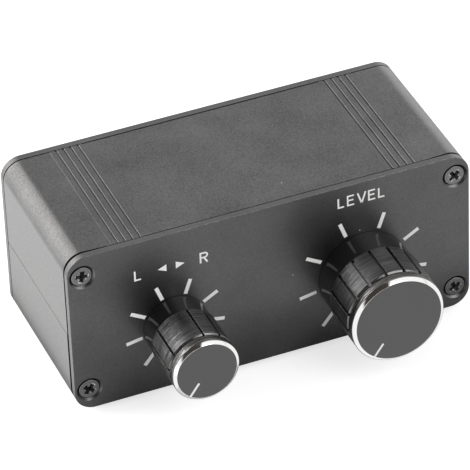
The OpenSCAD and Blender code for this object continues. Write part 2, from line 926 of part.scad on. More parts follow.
module block_section(w, h) {
    translate([-w / 2, 0])
        square([w, h - block_edge]);
    translate([block_edge - w / 2, 0])
        square([w - 2 * block_edge, h]);
    for (side = [-1, 1])
        translate([side * (w / 2 - block_edge), h - block_edge])
            circle(r = block_edge);
}

// Plated sleeve with a flange behind the rear plate
module jack_sleeve(x, side) {
    inner_r = sleeve_r - sleeve_wall;
    color("silver")
        on_rear(x + side * jack_pitch / 2, jack_z)
            rotate_extrude()
                difference() {
                    union() {
                        translate([0, flange_z])
                            square([flange_r, flange_t]);
                        translate([0, flange_z])
                            square([sleeve_r - neck_set, sleeve_l - sleeve_edge - flange_z]);
                        translate([0, neck_out])
                            square([sleeve_r, sleeve_l - sleeve_edge - neck_out]);
                        translate([0, neck_out])
                            square([sleeve_r - sleeve_edge, sleeve_l - neck_out]);
                        translate([sleeve_r - sleeve_edge, sleeve_l - sleeve_edge])
                            circle(r = sleeve_edge);
                    }
                    translate([0, flange_z - eps])
                        square([inner_r, sleeve_l - flange_z + 2 * eps]);
                }
}

module jack_insulator(x, side, shade) {
    color(shade)
        on_rear(x + side * jack_pitch / 2, jack_z)
            difference() {
                disc(insulator_r, flange_z, sleeve_l - insulator_set);
                disc(jack_bore_r, flange_z - eps, sleeve_l);
            }
}

// Tubes that take the plugs' pins, each with a tail down through the board
module jack_contacts(x) {
    front = flange_z - 2 * jack_play;
    back = block_back - jack_play;
    color("gold")
        for (side = [-1, 1])
            on_rear(x + side * jack_pitch / 2, jack_z) {
                difference() {
                    disc(contact_r, back, front);
                    disc(contact_r - contact_wall, back, front + eps);
                }
                translate([-tail_w / 2, -jack_axis_h - board_t - lead_below, back - tail_t])
                    cube([tail_w, jack_axis_h + board_t + lead_below + contact_r, tail_t]);
            }
}

// Supply jack: a body on the board, a round nose through the rear plate and a deep socket
module supply_jack_body() {
    below = supply_axis_h - mount_gap;
    color("black")
        on_rear(supply_x, supply_z)
            difference() {
                union() {
                    translate([-supply_w / 2, -below, supply_back])
                        cube([supply_w, below + supply_w / 2, supply_d]);
                    disc(nose_r, -plate_t - slack, 0);
                }
                disc(socket_r, -socket_l, eps);
                disc(supply_pin_r + jack_play, supply_back - eps, eps);
            }
}

module supply_jack_pin() {
    color("gold")
        on_rear(supply_x, supply_z)
            rotate_extrude() {
                square_from(supply_back, -supply_pin_set - supply_pin_r, supply_pin_r);
                translate([0, -supply_pin_set - supply_pin_r])
                    intersection() {
                        circle(r = supply_pin_r);
                        square(supply_pin_r);
                    }
            }
}

module square_from(from, to, r) {
    translate([0, from])
        square([r, to - from + slack]);
}

module supply_jack_blades() {
    color("silver")
        for (y = blade_ys)
            translate([supply_x, y, foot_t + board_top])
                bar(blade_w, blade_t, -board_t - lead_below, mount_gap);
}

upper_shell();
lower_shell();
front_panel();
rear_panel();
front_screws();
rear_screws();
foot(-1, -1);  // front_left_foot
foot(1, -1);  // front_right_foot
foot(-1, 1);  // rear_left_foot
foot(1, 1);  // rear_right_foot
volume_knob_shell();
on_front(volume_x, dial_z) knob_core(volume_l, volume_d, volume_skirt);  // volume_knob_core
on_front(volume_x, dial_z) pot_shaft();  // volume_shaft
on_front(volume_x, dial_z) pot_rotors();  // volume_rotors
on_front(volume_x, dial_z) pot_bushing();  // volume_bushing
on_front(volume_x, dial_z) pot_nut();  // volume_nut
on_front(volume_x, dial_z) pot_washer();  // volume_washer
on_front(volume_x, dial_z) pot_housing();  // volume_housing
on_front(volume_x, dial_z) pot_wafers();  // volume_wafers
on_front(volume_x, dial_z) pot_terminals();  // volume_terminals
balance_knob_shell();
on_front(balance_x, dial_z) knob_core(balance_l, balance_d, balance_skirt);  // balance_knob_core
on_front(balance_x, dial_z) pot_shaft();  // balance_shaft
on_front(balance_x, dial_z) pot_rotors();  // balance_rotors
on_front(balance_x, dial_z) pot_bushing();  // balance_bushing
on_front(balance_x, dial_z) pot_nut();  // balance_nut
on_front(balance_x, dial_z) pot_washer();  // balance_washer
on_front(balance_x, dial_z) pot_housing();  // balance_housing
on_front(balance_x, dial_z) pot_wafers();  // balance_wafers
on_front(balance_x, dial_z) pot_terminals();  // balance_terminals
circuit_board();
chip_socket(-1);  // left_chip_socket
chip_socket(1);  // right_chip_socket
amplifier_chip(-1);  // left_amplifier_chip
amplifier_chip(1);  // right_amplifier_chip
supply_capacitors();
coupling_capacitors();
film_capacitors();
resistors();
jack_block(input_x);  // input_jack_block
jack_block(output_x);  // output_jack_block
jack_sleeve(input_x, -1);  // input_left_sleeve
jack_sleeve(input_x, 1);  // input_right_sleeve
jack_sleeve(output_x, -1);  // output_left_sleeve
jack_sleeve(output_x, 1);  // output_right_sleeve
jack_insulator(input_x, -1, "white");  // input_left_insulator
jack_insulator(input_x, 1, "red");  // input_right_insulator
jack_insulator(output_x, -1, "white");  // output_left_insulator
jack_insulator(output_x, 1, "red");  // output_right_insulator
jack_contacts(input_x);  // input_contacts
jack_contacts(output_x);  // output_contacts
supply_jack_body();
supply_jack_pin();
supply_jack_blades();
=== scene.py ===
# %% [markdown]
# # A stereo level and balance controller
#
# The object is a small black desktop box with two turning dials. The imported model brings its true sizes,
# its pieces and its joints. This lesson gives the pieces that show finer surfaces and real finishes, one
# step to a cell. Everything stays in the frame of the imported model: X to the right, Y to the back, Z up,
# in metres.

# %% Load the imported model
import json

import bmesh
import bpy
import numpy as np
from mathutils import Matrix, Vector
from mathutils.geometry import tessellate_polygon


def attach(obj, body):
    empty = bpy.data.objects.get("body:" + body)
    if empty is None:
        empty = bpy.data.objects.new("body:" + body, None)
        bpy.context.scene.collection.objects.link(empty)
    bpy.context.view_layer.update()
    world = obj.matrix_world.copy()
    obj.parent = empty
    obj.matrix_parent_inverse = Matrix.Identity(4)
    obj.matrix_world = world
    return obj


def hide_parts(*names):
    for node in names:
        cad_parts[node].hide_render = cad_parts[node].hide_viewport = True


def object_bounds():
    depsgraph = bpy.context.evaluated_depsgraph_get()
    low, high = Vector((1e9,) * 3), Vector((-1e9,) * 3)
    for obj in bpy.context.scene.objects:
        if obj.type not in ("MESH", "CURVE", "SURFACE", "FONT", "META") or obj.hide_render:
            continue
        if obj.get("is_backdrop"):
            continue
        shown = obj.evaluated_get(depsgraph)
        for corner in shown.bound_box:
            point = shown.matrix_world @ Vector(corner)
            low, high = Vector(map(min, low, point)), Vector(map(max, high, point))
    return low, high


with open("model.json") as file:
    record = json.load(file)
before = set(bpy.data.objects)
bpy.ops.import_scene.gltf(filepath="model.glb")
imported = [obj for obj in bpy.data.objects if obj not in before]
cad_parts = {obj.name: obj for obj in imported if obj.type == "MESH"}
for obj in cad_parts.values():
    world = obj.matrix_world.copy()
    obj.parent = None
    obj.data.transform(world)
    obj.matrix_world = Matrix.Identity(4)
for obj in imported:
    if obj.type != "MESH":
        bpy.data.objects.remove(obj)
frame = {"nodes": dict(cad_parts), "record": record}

cad_box = [list(corner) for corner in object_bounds()]

# %% [markdown]
# ## The camera
#
# A camera is a place, a direction and a focal length. One could drag it about until the picture looks
# right, but here the three came from a fit to the straight edges of the case, so they are written as
# numbers. The long lens makes the far edges of the case run almost parallel to the near ones.

# %% Camera at the photograph's view
FRAME_PX, FOCAL_PX, SENSOR_MM = 470, 4281.67, 36.0


def add_object(name, data):
    """New object in the scene that shows the given data."""
    thing = bpy.data.objects.new(name, data)
    bpy.context.scene.collection.objects.link(thing)
    return thing


eye = Vector((-0.25698, -0.66712, 0.54493))
forward = Vector((0.28928, 0.75220, -0.59206)).normalized()
right = Vector((0.92362, -0.38186, -0.03400))
right = (right - forward * right.dot(forward)).normalized()
upward = right.cross(forward)
optics = bpy.data.cameras.new("camera")
optics.sensor_width = SENSOR_MM
optics.lens = SENSOR_MM * FOCAL_PX / FRAME_PX
optics.clip_start, optics.clip_end = 0.05, 20.0
camera = add_object("camera", optics)
camera.matrix_world = Matrix.Translation(eye) @ Matrix((right, upward, -forward)).transposed().to_4x4()
bpy.context.scene.camera = camera
bpy.context.scene.view_settings.view_transform = "Standard"
tilt = np.degrees(np.arcsin(-forward.z))
print("lens", round(optics.lens, 1), "mm, looking down", round(tilt, 1), "degrees")

# %% [markdown]
# ## Floor, room and lamps
#
# Dark anodised metal has almost no colour of its own: it shows the room it stands in. So the room is white
# to the camera and in mirrors, and dimmer as a lamp. A photographer sets dark and bright cards around such
# an object to shape its reflections, and the cards here are seen in mirrors only. The floor scatters, so
# that it takes a shadow, and glows, so that it reads as a white sheet. Four soft boxes give the light, the
# one behind a little warm.

# %% Strength of a glow for each kind of ray
def add_node(tree, kind, inputs, **settings):
    """New node of a kind. Of the inputs, by name or number, a socket is linked and a plain value is set.
    settings are the node's own properties."""
    node = tree.nodes.new("ShaderNode" + kind)
    for label, value in settings.items():
        setattr(node, label, value)
    for label, value in inputs.items():
        if isinstance(value, bpy.types.NodeSocket):
            tree.links.new(value, node.inputs[label])
        else:
            node.inputs[label].default_value = value
    return node


def remap(tree, value, low, high, start=0.0, end=1.0):
    """Socket with value carried over from the range start to end into the range low to high."""
    values = {"Value": value, "From Min": start, "From Max": end, "To Min": low, "To Max": high}
    return add_node(tree, "MapRange", values).outputs["Result"]


def glow_level(tree, seen, mirrored, otherwise):
    """Strength that depends on the ray: seen for the camera's own rays, mirrored for rays off a shiny
    surface, and otherwise for the rays that carry light to the object."""
    ray = add_node(tree, "LightPath", {}).outputs
    return remap(tree, ray["Is Camera Ray"], remap(tree, ray["Is Glossy Ray"], otherwise, mirrored), seen)


ROOM_LIGHT = 0.55
world = bpy.data.worlds.new("white_room")
bpy.context.scene.world = world
world.use_nodes = True
room = world.node_tree
background = room.nodes["Background"]
background.inputs["Color"].default_value = (1.0, 1.0, 1.0, 1.0)
room.links.new(glow_level(room, 1.0, 1.0, ROOM_LIGHT), background.inputs["Strength"])
print("room lights the object at", ROOM_LIGHT)

# %% Floor and cards
def grey(level):
    """A colour without a hue."""
    return (level, level, level)


def sheet(name, place, across, along, colour, seen, mirrored):
    """Flat sheet about place, spanned by two half edges, that scatters light in its colour and glows at the
    strengths seen and mirrored."""
    across, along = np.array(across), np.array(along)
    corners = np.array([-across - along, across - along, across + along, along - across]) + np.array(place)
    mesh = bpy.data.meshes.new(name)
    mesh.from_pydata(corners.tolist(), [], [[0, 1, 2, 3]])
    card = add_object(name, mesh)
    card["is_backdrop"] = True
    paper = bpy.data.materials.new(name + "_paper")
    paper.use_nodes = True
    paper.cycles.emission_sampling = "NONE"
    tree = paper.node_tree
    tree.nodes.clear()
    scatter = add_node(tree, "BsdfDiffuse", {"Color": (*colour, 1.0)})
    glow = add_node(tree, "Emission", {"Strength": glow_level(tree, seen, mirrored, 0.0)})
    both = add_node(tree, "AddShader", {0: scatter.outputs[0], 1: glow.outputs[0]})
    add_node(tree, "OutputMaterial", {"Surface": both.outputs[0]})
    mesh.materials.append(paper)
    return card


FLOOR_HALF, FLOOR_GREY, FLOOR_GLOW = 1.6, 0.68, 0.66
sheet("floor", (0, 0, 0), (FLOOR_HALF, 0, 0), (0, FLOOR_HALF, 0), grey(FLOOR_GREY), FLOOR_GLOW, 0.0)
BLACK, WARM_DARK = grey(0.0), (0.05, 0.043, 0.037)
# Each card: its place, its two half edges, its colour and its strength in a mirror.
CARDS = {
    "dark_ceiling_card": ((0.0, -0.1, 0.95), (0.26, 0, 0), (0, 0.6, 0), grey(0.02), 0.0),
    "dark_card_behind_camera": ((-0.54, -1.02, 0.78), (0.78, -0.34, 0), (0, 0, 0.82), WARM_DARK, 0.0),
    "bright_card_in_front": ((0.05, -0.282, 0.0005), (0.40, 0.06, 0), (0, 0.251, 0), BLACK, 0.98),
    "bright_card_at_left": ((-0.85, 0.30, 0.58), (0, 0.26, 0), (0, 0, 0.56), BLACK, 4.0),
    "bright_card_at_right": ((0.84, 0.86, 0.36), (0.27, -0.26, 0), (0, 0, 0.36), BLACK, 1.9),
    "bright_floor_at_right": ((0.36, 0.36, 0.0005), (0.31, 0, 0), (0, 0.36, 0), BLACK, 1.1),
    "bright_floor_at_left": ((-0.42, 0.46, 0.0005), (0.26, 0, 0), (0, 0.36, 0), BLACK, 2.8),
    "bright_card_front_right": ((0.66, -0.56, 0.66), (0.16, 0.18, 0), (0, 0, 0.20), BLACK, 3.6),
}
for name, (place, across, along, colour, mirrored) in CARDS.items():
    card = sheet(name, place, across, along, colour, 0.0, mirrored)
    card.visible_camera = card.visible_diffuse = card.visible_shadow = False
print("floor", 2 * FLOOR_HALF, "m wide,", len(CARDS), "cards that only mirrors see")

# %% Lamps
CASE_MIDDLE, WARM = (0.0, 0.0, 0.02), (1.0, 0.965, 0.94)


def softbox(name, place, aim, width, height, watts, tint=(1.0, 1.0, 1.0)):
    """Rectangular lamp of the given size and tint at place, whose light leaves along the line to aim."""
    data = bpy.data.lights.new(name, "AREA")
    data.shape = "RECTANGLE"
    data.size, data.size_y = width, height
    data.energy = watts
    data.color = tint
    lamp = add_object(name, data)
    lamp.location = place
    lamp.rotation_mode = "QUATERNION"
    lamp.rotation_quaternion = (Vector(aim) - Vector(place)).to_track_quat("-Z", "Y")
    return lamp


lamps = [
    softbox("lamp_left", (-0.74, 0.30, 0.66), CASE_MIDDLE, 0.50, 0.50, 5.0),
    softbox("lamp_behind_left", (-0.575, 1.0, 0.48), (-0.575, 0.0, 0.48), 0.99, 1.00, 9.0, WARM),
    softbox("lamp_front", (0.40, -0.85, 0.75), CASE_MIDDLE, 0.7, 0.7, 4.6),
    softbox("lamp_on_table", (-0.146, 0.06, 0.003), (-0.146, 0.06, 1.0), 0.20, 0.30, 0.18),
]
print(len(lamps), "soft lamps")

# %% [markdown]
# ## From arrays to pieces
#
# Nearly every piece is a stack of rings: its section is drawn as a closed line of points, and the line is
# carried along the piece while its size changes. Two neighbouring rings make a band of faces, and the
# first and last ring are closed by one flat face each. A modelling tool could pull the same shapes by
# hand, but arrays keep every size in one place.

# %% Rings to faces
def bands(rings, count, loop=False):
    """Faces of a stack of rings with count points each. Point j of ring i has number i * count + j. A face
    joins j and j + 1 on ring i to the same two on ring i + 1. With loop the last ring joins the first."""
    i = np.arange(rings if loop else rings - 1)[:, None]
    j = np.arange(count)[None, :]
    near, far = i * count, (i + 1) % rings * count
    step = (j + 1) % count
    return np.stack([near + j, near + step, far + step, far + j], -1).reshape(-1, 4).tolist()


def stack(rings, loop=False):
    """(points, faces) of rings of shape (rings, count, 3), closed by end faces or, with loop, on itself."""
    total, count = rings.shape[:2]
    faces = bands(total, count, loop)
    if not loop:
        faces += [list(range(count)), list(range((total - 1) * count, total * count))]
    return rings.reshape(-1, 3), faces


def join(parts):
    """One (points, faces) out of many: the points follow each other, and each part's faces count on."""
    starts = np.cumsum([0] + [len(points) for points, _ in parts]).tolist()
    faces = [[corner + first for corner in face] for (_, part), first in zip(parts, starts) for face in part]
    return np.concatenate([points for points, _ in parts]), faces


print("three rings of four points close with", len(stack(np.zeros((3, 4, 3)))[1]), "faces")

# %% Arrays to objects
MM = 0.001
EDGE = "edge"
CREASE = np.radians(32.0)


def make_piece(name, shape, coats, body, replaced=(), zone=None, edge=None):
    """Object from (points in mm, faces). zone gives each face the number of its coat, and edge marks points
    on worn edges with 1. Edges sharper than CREASE stay hard, and the modifier keeps flat faces flat."""
    points, faces = shape
    mesh = bpy.data.meshes.new(name)
    mesh.from_pydata((points * MM).tolist(), [], faces)
    for coat in coats:
        mesh.materials.append(coat)
    if zone is not None:
        mesh.polygons.foreach_set("material_index", np.asarray(zone, dtype=np.int32))
    if edge is not None:
        marks = mesh.attributes.new(EDGE, "FLOAT", "POINT")
        marks.data.foreach_set("value", np.asarray(edge, dtype=np.float32))
    net = bmesh.new()
    net.from_mesh(mesh)
    bmesh.ops.recalc_face_normals(net, faces=net.faces)
    net.to_mesh(mesh)
    net.free()
    mesh.polygons.foreach_set("use_smooth", np.ones(len(mesh.polygons), dtype=bool))
    mesh.set_sharp_from_angle(angle=CREASE)
    piece = add_object(name, mesh)
    piece.modifiers.new("flat_faces_stay_flat", "WEIGHTED_NORMAL").keep_sharp = True
    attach(piece, body)
    if replaced:
        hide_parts(*replaced)
    return piece


print("points in mm, objects in metres, hard edges from", round(np.degrees(CREASE)), "degrees")

# %% [markdown]
# ## Effects that several finishes share
#
# A finish is a colour, a roughness and tiny relief. Blasting leaves grains and soft clouds, a lathe leaves
# fine lines, dust settles in specks, and edges lose their skin in small chips. Many pieces share such
# marks, so each effect is a node group: built once, and placed in each material with its own values. The
# groups put out only heights and masks. The shader itself stays in the material.

# %% Node group: blasted grain
def open_group(name, *inputs):
    """New node group with a vector input and named float inputs. Gives the group and its input sockets."""
    group = bpy.data.node_groups.new(name, "ShaderNodeTree")
    group.interface.new_socket("Vector", in_out="INPUT", socket_type="NodeSocketVector")
    for label in inputs:
        group.interface.new_socket(label, in_out="INPUT", socket_type="NodeSocketFloat")
    return group, group.nodes.new("NodeGroupInput").outputs


def close_group(group, **outputs):
    """Named float outputs of a group, each fed by a socket."""
    for label in outputs:
        group.interface.new_socket(label, in_out="OUTPUT", socket_type="NodeSocketFloat")
    end = group.nodes.new("NodeGroupOutput")
    for label, socket in outputs.items():
        group.links.new(socket, end.inputs[label])
    print("group", group.name, "of", len(group.nodes), "nodes gives", ", ".join(outputs))


def noise(tree, place, scale, detail=2.0):
    """Socket of a noise between 0 and 1."""
    return add_node(tree, "TexNoise", {"Vector": place, "Scale": scale, "Detail": detail}).outputs["Fac"]


def maths(tree, operation, *values):
    """Socket of an operation on sockets or numbers."""
    return add_node(tree, "Math", dict(enumerate(values)), operation=operation).outputs[0]


CLOUDS_PER_METRE = 90.0
blast, given = open_group("blasted_grain", "Grains per metre", "Grain contrast")
grain = noise(blast, given["Vector"], given["Grains per metre"])
cloud = noise(blast, given["Vector"], CLOUDS_PER_METRE, 3.0)
tone = maths(blast, "MULTIPLY_ADD", maths(blast, "SUBTRACT", grain, 0.5), given["Grain contrast"], cloud)
close_group(blast, Height=grain, Cloud=cloud, Tone=tone)

# %% Node group: turning lines
DRAWN_OUT = (0.03, 1.0, 0.03)
turning, given = open_group("turning_lines", "Fineness")
drawn = add_node(turning, "VectorMath", {0: given["Vector"], 1: DRAWN_OUT}, operation="MULTIPLY")
streaks = noise(turning, drawn.outputs["Vector"], given["Fineness"], 3.0)
wave = {"Vector": given["Vector"], "Scale": given["Fineness"]}
wave |= {"Distortion": 3.0, "Detail": 2.0, "Detail Scale": 2.0}
rings = add_node(turning, "TexWave", wave, wave_type="RINGS", rings_direction="Y").outputs["Fac"]
close_group(turning, Around=streaks, Rings=rings)

# %% Node group: dust
PATCHES_PER_METRE, PATCH_FROM = 160.0, 0.58
dust, given = open_group("settled_dust", "Specks per metre", "Speck size")
cells = add_node(dust, "TexVoronoi", {"Vector": given["Vector"], "Scale": given["Specks per metre"]})
speck = maths(dust, "LESS_THAN", cells.outputs["Distance"], given["Speck size"])
dusty = maths(dust, "GREATER_THAN", noise(dust, given["Vector"], PATCHES_PER_METRE), PATCH_FROM)
close_group(dust, Mask=maths(dust, "MULTIPLY", speck, dusty))

# %% Node group: worn edges
CHIP_FROM, CHIP_FULL = 0.50, 0.62
wear, given = open_group("worn_edges", "Chips per metre", "Edge")
chips = noise(wear, given["Vector"], given["Chips per metre"], 3.0)
chipped = remap(wear, chips, 0.0, 1.0, CHIP_FROM, CHIP_FULL)
close_group(wear, Mask=maths(wear, "MULTIPLY", chipped, given["Edge"]))

# %% [markdown]
# ## Finishes
#
# The case is blasted and black anodised: the mirror of the metal is still there under the dyed skin, only
# dark, so the shader is a metal with a dark colour. Dust and chipped edges are laid over it. The knobs are
# turned and anodised the same way, with a chamfer cut bright after dyeing. Moulded pieces are plain
# plastics.

# %% A material with grain, clouds and relief
def finish(name, dark, light, metal, rough, grains=6000.0, relief=0.002, gloss_change=0.06, contrast=0.0):
    """Material whose colour goes from dark to light over soft clouds and, by contrast, over fine grains. Its
    roughness changes with the clouds by gloss_change, and the grains have relief in mm."""
    material = bpy.data.materials.new(name)
    material.use_nodes = True
    tree = material.node_tree
    shader = tree.nodes["Principled BSDF"].inputs
    shader["Metallic"].default_value = metal
    place = add_node(tree, "TexCoord", {})
    values = {"Vector": place.outputs["Object"], "Grains per metre": grains, "Grain contrast": contrast}
    effect = add_node(tree, "Group", values, node_tree=blast).outputs
    shades = {"Factor": effect["Tone"], "A": (*dark, 1.0), "B": (*light, 1.0)}
    colour = add_node(tree, "Mix", shades, data_type="RGBA")
    gloss = remap(tree, effect["Cloud"], rough - gloss_change, rough + gloss_change)
    bump = add_node(tree, "Bump", {"Height": effect["Height"], "Distance": relief * MM})
    tree.links.new(colour.outputs["Result"], shader["Base Color"])
    tree.links.new(gloss, shader["Roughness"])
    tree.links.new(bump.outputs["Normal"], shader["Normal"])
    return material


anodised_shell = finish("anodised_shell", grey(0.070), grey(0.154), 1.0, 0.30, 3600.0, 0.008, contrast=1.8)
anodised_plate = finish("anodised_plate", grey(0.087), grey(0.143), 1.0, 0.38, 3600.0, 0.006, contrast=1.1)
# A near-black coat of painted shade for the sawn ends and the wall's middle, in the gaps at the plates.
painted_shade_end = finish("painted_shade_end", grey(0.020), grey(0.032), 1.0, 0.45)
print("finishes for the shells, the plates and the shaded ends")

# %% Dust and wear over a finish
DUST_GREY, SPECKS, CHIPS = 0.75, 330.0, 2200.0


def overlay(material, group, values, pale, metal):
    """Places a group with its values over a finish: where its mask is 1 the colour becomes pale and, unless
    an earlier overlay rules it, the share of metal becomes metal."""
    tree = material.node_tree
    shader = tree.nodes["Principled BSDF"].inputs
    place = tree.nodes["Texture Coordinate"].outputs["Object"]
    mask = add_node(tree, "Group", {"Vector": place, **values}, node_tree=group).outputs["Mask"]
    under = shader["Base Color"].links[0].from_socket
    colour = add_node(tree, "Mix", {"Factor": mask, "A": under, "B": (*grey(pale), 1.0)}, data_type="RGBA")
    tree.links.new(colour.outputs["Result"], shader["Base Color"])
    before = shader["Metallic"]
    if not before.links and before.default_value != metal:
        tree.links.new(remap(tree, mask, before.default_value, metal), before)


def add_wear_and_glints(material, chips, pale, metal=1.0):
    """Paler chips along the edges, which a piece marks in its own attribute. On the case they are wear; on
    the screws they are worn plating and painted glints.
    """
    marked = add_node(material.node_tree, "Attribute", {}, attribute_name=EDGE)
    overlay(material, wear, {"Chips per metre": chips, "Edge": marked.outputs["Fac"]}, pale, metal)


for material, speck_size, worn_grey in ((anodised_shell, 0.045, 0.20), (anodised_plate, 0.040, 0.22)):
    overlay(material, dust, {"Specks per metre": SPECKS, "Speck size": speck_size}, DUST_GREY, 0.0)
    add_wear_and_glints(material, CHIPS, worn_grey)
    print(material.name, "has", len(material.node_tree.nodes), "nodes")

# %% Turned metal of the knobs
LINES_FROM, LINES_TO, TURNED_GRAINS, TURNED_RELIEF = 0.32, 0.68, 9000.0, 0.001


def turned_finish(name, centre, dark, light, rough, lines, fineness, relief):
    """Metal with turning lines about an axis along Y through centre (mm). lines names the group's output:
    Around for lines that follow each other along the axis, Rings for lines that do so outwards."""
    material = finish(name, dark, light, 1.0, rough, TURNED_GRAINS, TURNED_RELIEF)
    tree = material.node_tree
    nodes = tree.nodes
    place, grains = nodes["Texture Coordinate"].outputs["Object"], nodes["Bump"].outputs["Normal"]
    centred = add_node(tree, "Mapping", {"Vector": place, "Location": (-centre * MM).tolist()})
    values = {"Vector": centred.outputs["Vector"], "Fineness": fineness}
    effect = add_node(tree, "Group", values, node_tree=turning).outputs[lines]
    cut = add_node(tree, "Bump", {"Height": effect, "Normal": grains, "Distance": relief * MM})
    tree.links.new(remap(tree, effect, 0.0, 1.0, LINES_FROM, LINES_TO), nodes["Mix"].inputs["Factor"])
    tree.links.new(cut.outputs["Normal"], nodes["Principled BSDF"].inputs["Normal"])
    return material


DIALS = {"volume": np.array([20.0, -19.3, 16.95]), "balance": np.array([-21.6, -19.3, 16.95])}
# Each coat: dark and light colour, roughness, kind of lines, their fineness and their relief in mm.
COATS = {
    "grip_black": (grey(0.072), grey(0.210), 0.31, "Around", 4000.0, 0.17),
    "rim_black": ((0.085, 0.082, 0.080), (0.210, 0.206, 0.202), 0.22, "Around", 3400.0, 0.14),
    "bright_cut": ((0.90, 0.90, 0.89), (0.94, 0.94, 0.93), 0.08, "Rings", 2000.0, 0.002),
    "turned_face": (grey(0.098), grey(0.124), 0.30, "Rings", 1800.0, 0.008),
}
knob_coats = {dial: [turned_finish(dial + "_" + label, centre, *coat) for label, coat in COATS.items()]
              for dial, centre in DIALS.items()}
print(len(COATS), "knob finishes each for", ", ".join(DIALS))

# %% Plastics, rubber, print and screws
print_white = finish("print_white", (0.86, 0.86, 0.85), (0.92, 0.92, 0.91), 0.0, 0.55, 9000.0, 0.004)
skirt_gloss = finish("skirt_gloss", grey(0.010), grey(0.014), 0.0, 0.09, 1500.0, 0.0004, 0.02)
screw_black = finish("screw_black", grey(0.145), grey(0.205), 1.0, 0.30, 5000.0, 0.01, contrast=1.5)
# Near-white, hardly metallic chips at the lip of each recess: partly worn plating, partly painted glints.
add_wear_and_glints(screw_black, 1100.0, 0.95, 0.1)
foot_rubber = finish("foot_rubber", grey(0.016), grey(0.024), 0.0, 0.75, 6000.0, 0.01)
print(len(bpy.data.materials), "materials so far")

# %% [markdown]
# ## The two halves of the case
#
# The case is one aluminium extrusion used twice: the roof is the floor turned over. An extrusion is the
# simplest of all surfaces, one section carried along a straight line. The section has the grooves, the
# screw channels, the board's ledge and rib, and the tongue that locks the halves. Its corners are eased,
# because a sharp edge never catches the light. The sawn ends stand a little behind the plates, which
# leaves dark lines there, and the middle of the wall closes these gaps. The ends and that middle get a
# near-black coat of painted shade.

# %% Section of one half
CASE_W, CASE_H, CASE_D = 88.0, 38.0, 38.6
FOOT_T, WALL_T, PLATE_T, CORNER_R = 1.6, 1.8, 1.5, 4.35
HALF_W, SHELL_L = CASE_W / 2, CASE_D - 2 * PLATE_T
SEAM_GAP, SEAM_DROP, TONGUE_L, TONGUE_T, REBATE_T = 0.18, 0.7, 1.5, 0.75, 0.8
SEAM_Z = CASE_H / 2 - SEAM_GAP / 2
SCREW_X, SCREW_Z, BOSS_HALF, BORE_HALF, SLIT_HALF = 40.8, 4.8, 2.4, 1.2, 0.6
RIB_Z, RIB_T, RIB_W = 8.9, 1.0, 1.3
GROOVES, GROOVE_PITCH, GROOVE_W, GROOVE_DEPTH, GROOVE_INSET = 4, 1.6, 0.42, 0.42, 14.0
BAND_HALF, BAND_SLOPE, BAND_STEP, BAND_RISE = 3.5, 0.28, 0.03, 0.06
EDGE_EASE, GROOVE_EASE, FINE_EASE, STEP_EASE, SLOPE_EASE, ARC_STEPS = 0.12, 0.18, 0.03, 0.02, 0.3, 12


def eased(corners, radii, steps):
    """Closed line through corners (n, 2), each replaced by an arc of its own radius. With points as complex
    numbers, an arc starts radius * tan(turn / 2) before its corner, and its spoke turns with the path."""
    path, radii = np.asarray(corners, float) @ [1, 1j], np.asarray(radii)
    before, after = path - np.roll(path, 1), np.roll(path, -1) - path
    before, after = before / abs(before), after / abs(after)
    turn = np.angle(after / before)
    first = path - before * radii * np.tan(abs(turn) / 2)
    spoke = -1j * np.sign(turn) * before * radii
    arc = (first - spoke)[:, None] + spoke[:, None] * np.exp(1j * turn[:, None] * np.linspace(0, 1, steps))
    return np.stack([arc.real, arc.imag], -1).reshape(-1, 2)


def half_section():
    """(corners, radii) of the closed section of one half, standing on height 0, counter-clockwise: along the
    outside with its two bands of grooves, up to the seam, and back along the inside."""
    centres = (np.arange(GROOVES) - (GROOVES - 1) / 2) * GROOVE_PITCH
    notch = np.array([[-0.5, 0], [-0.5, 1], [0.5, 1], [0.5, 0]]) * [GROOVE_W, GROOVE_DEPTH] - (0, BAND_RISE)
    notches = np.concatenate([notch + (centre, 0) for centre in centres])
    step = [[-BAND_HALF - BAND_STEP, 0], [-BAND_HALF, -BAND_RISE]]
    slope = [[BAND_HALF, -BAND_RISE], [BAND_HALF + BAND_SLOPE, 0]]
    band = np.concatenate([step, notches, slope])
    grooves = np.concatenate([band + (side * (HALF_W - GROOVE_INSET), 0) for side in (-1, 1)])
    inner, boss, ledge = HALF_W - WALL_T, SCREW_X - BOSS_HALF, SCREW_Z + BOSS_HALF
    rib_in, far, bore, slit = inner - RIB_W, -BOSS_HALF, BORE_HALF, SLIT_HALF
    channel = np.array([[far, -slit], [-bore, -slit], [-bore, -bore], [bore, -bore], [bore, bore],
                        [-bore, bore], [-bore, slit], [far, slit]]) + (SCREW_X, SCREW_Z)
    rib = [[inner, RIB_Z], [rib_in, RIB_Z], [rib_in, RIB_Z + RIB_T], [inner, RIB_Z + RIB_T]]
    inside = [[boss, WALL_T]] + channel.tolist() + [[boss, ledge], [inner, ledge]] + rib
    mirrored = [[-x, z] for x, z in inside]
    low, high, tip, root = SEAM_Z - SEAM_DROP, SEAM_Z + SEAM_DROP, SEAM_Z + TONGUE_L, SEAM_Z - TONGUE_L
    rebate = [[HALF_W, high], [inner + REBATE_T, high], [inner + REBATE_T, root], [inner, root]]
    tongue = [[-inner, tip], [-inner - TONGUE_T, tip], [-inner - TONGUE_T, low]]
    corners = [[-HALF_W, 0]] + grooves.tolist() + [[HALF_W, 0]] + rebate + inside[::-1] + mirrored
    corners += tongue + [[-HALF_W, low]]
    radii = np.full(len(corners), EDGE_EASE)
    lips = [GROOVE_EASE, FINE_EASE, FINE_EASE, FINE_EASE] * GROOVES
    radii[1:len(grooves) + 1] = ([STEP_EASE] * 2 + lips + [SLOPE_EASE] * 2) * 2
    radii[[0, len(grooves) + 1]] = CORNER_R
    return corners, radii


section = eased(*half_section(), ARC_STEPS)
print("section of", len(section), "points,", round(float(np.ptp(section[:, 0])), 2), "mm wide")

# %% The section carried along Y
BURR_L, BURR_SHARE = 0.8, 0.3


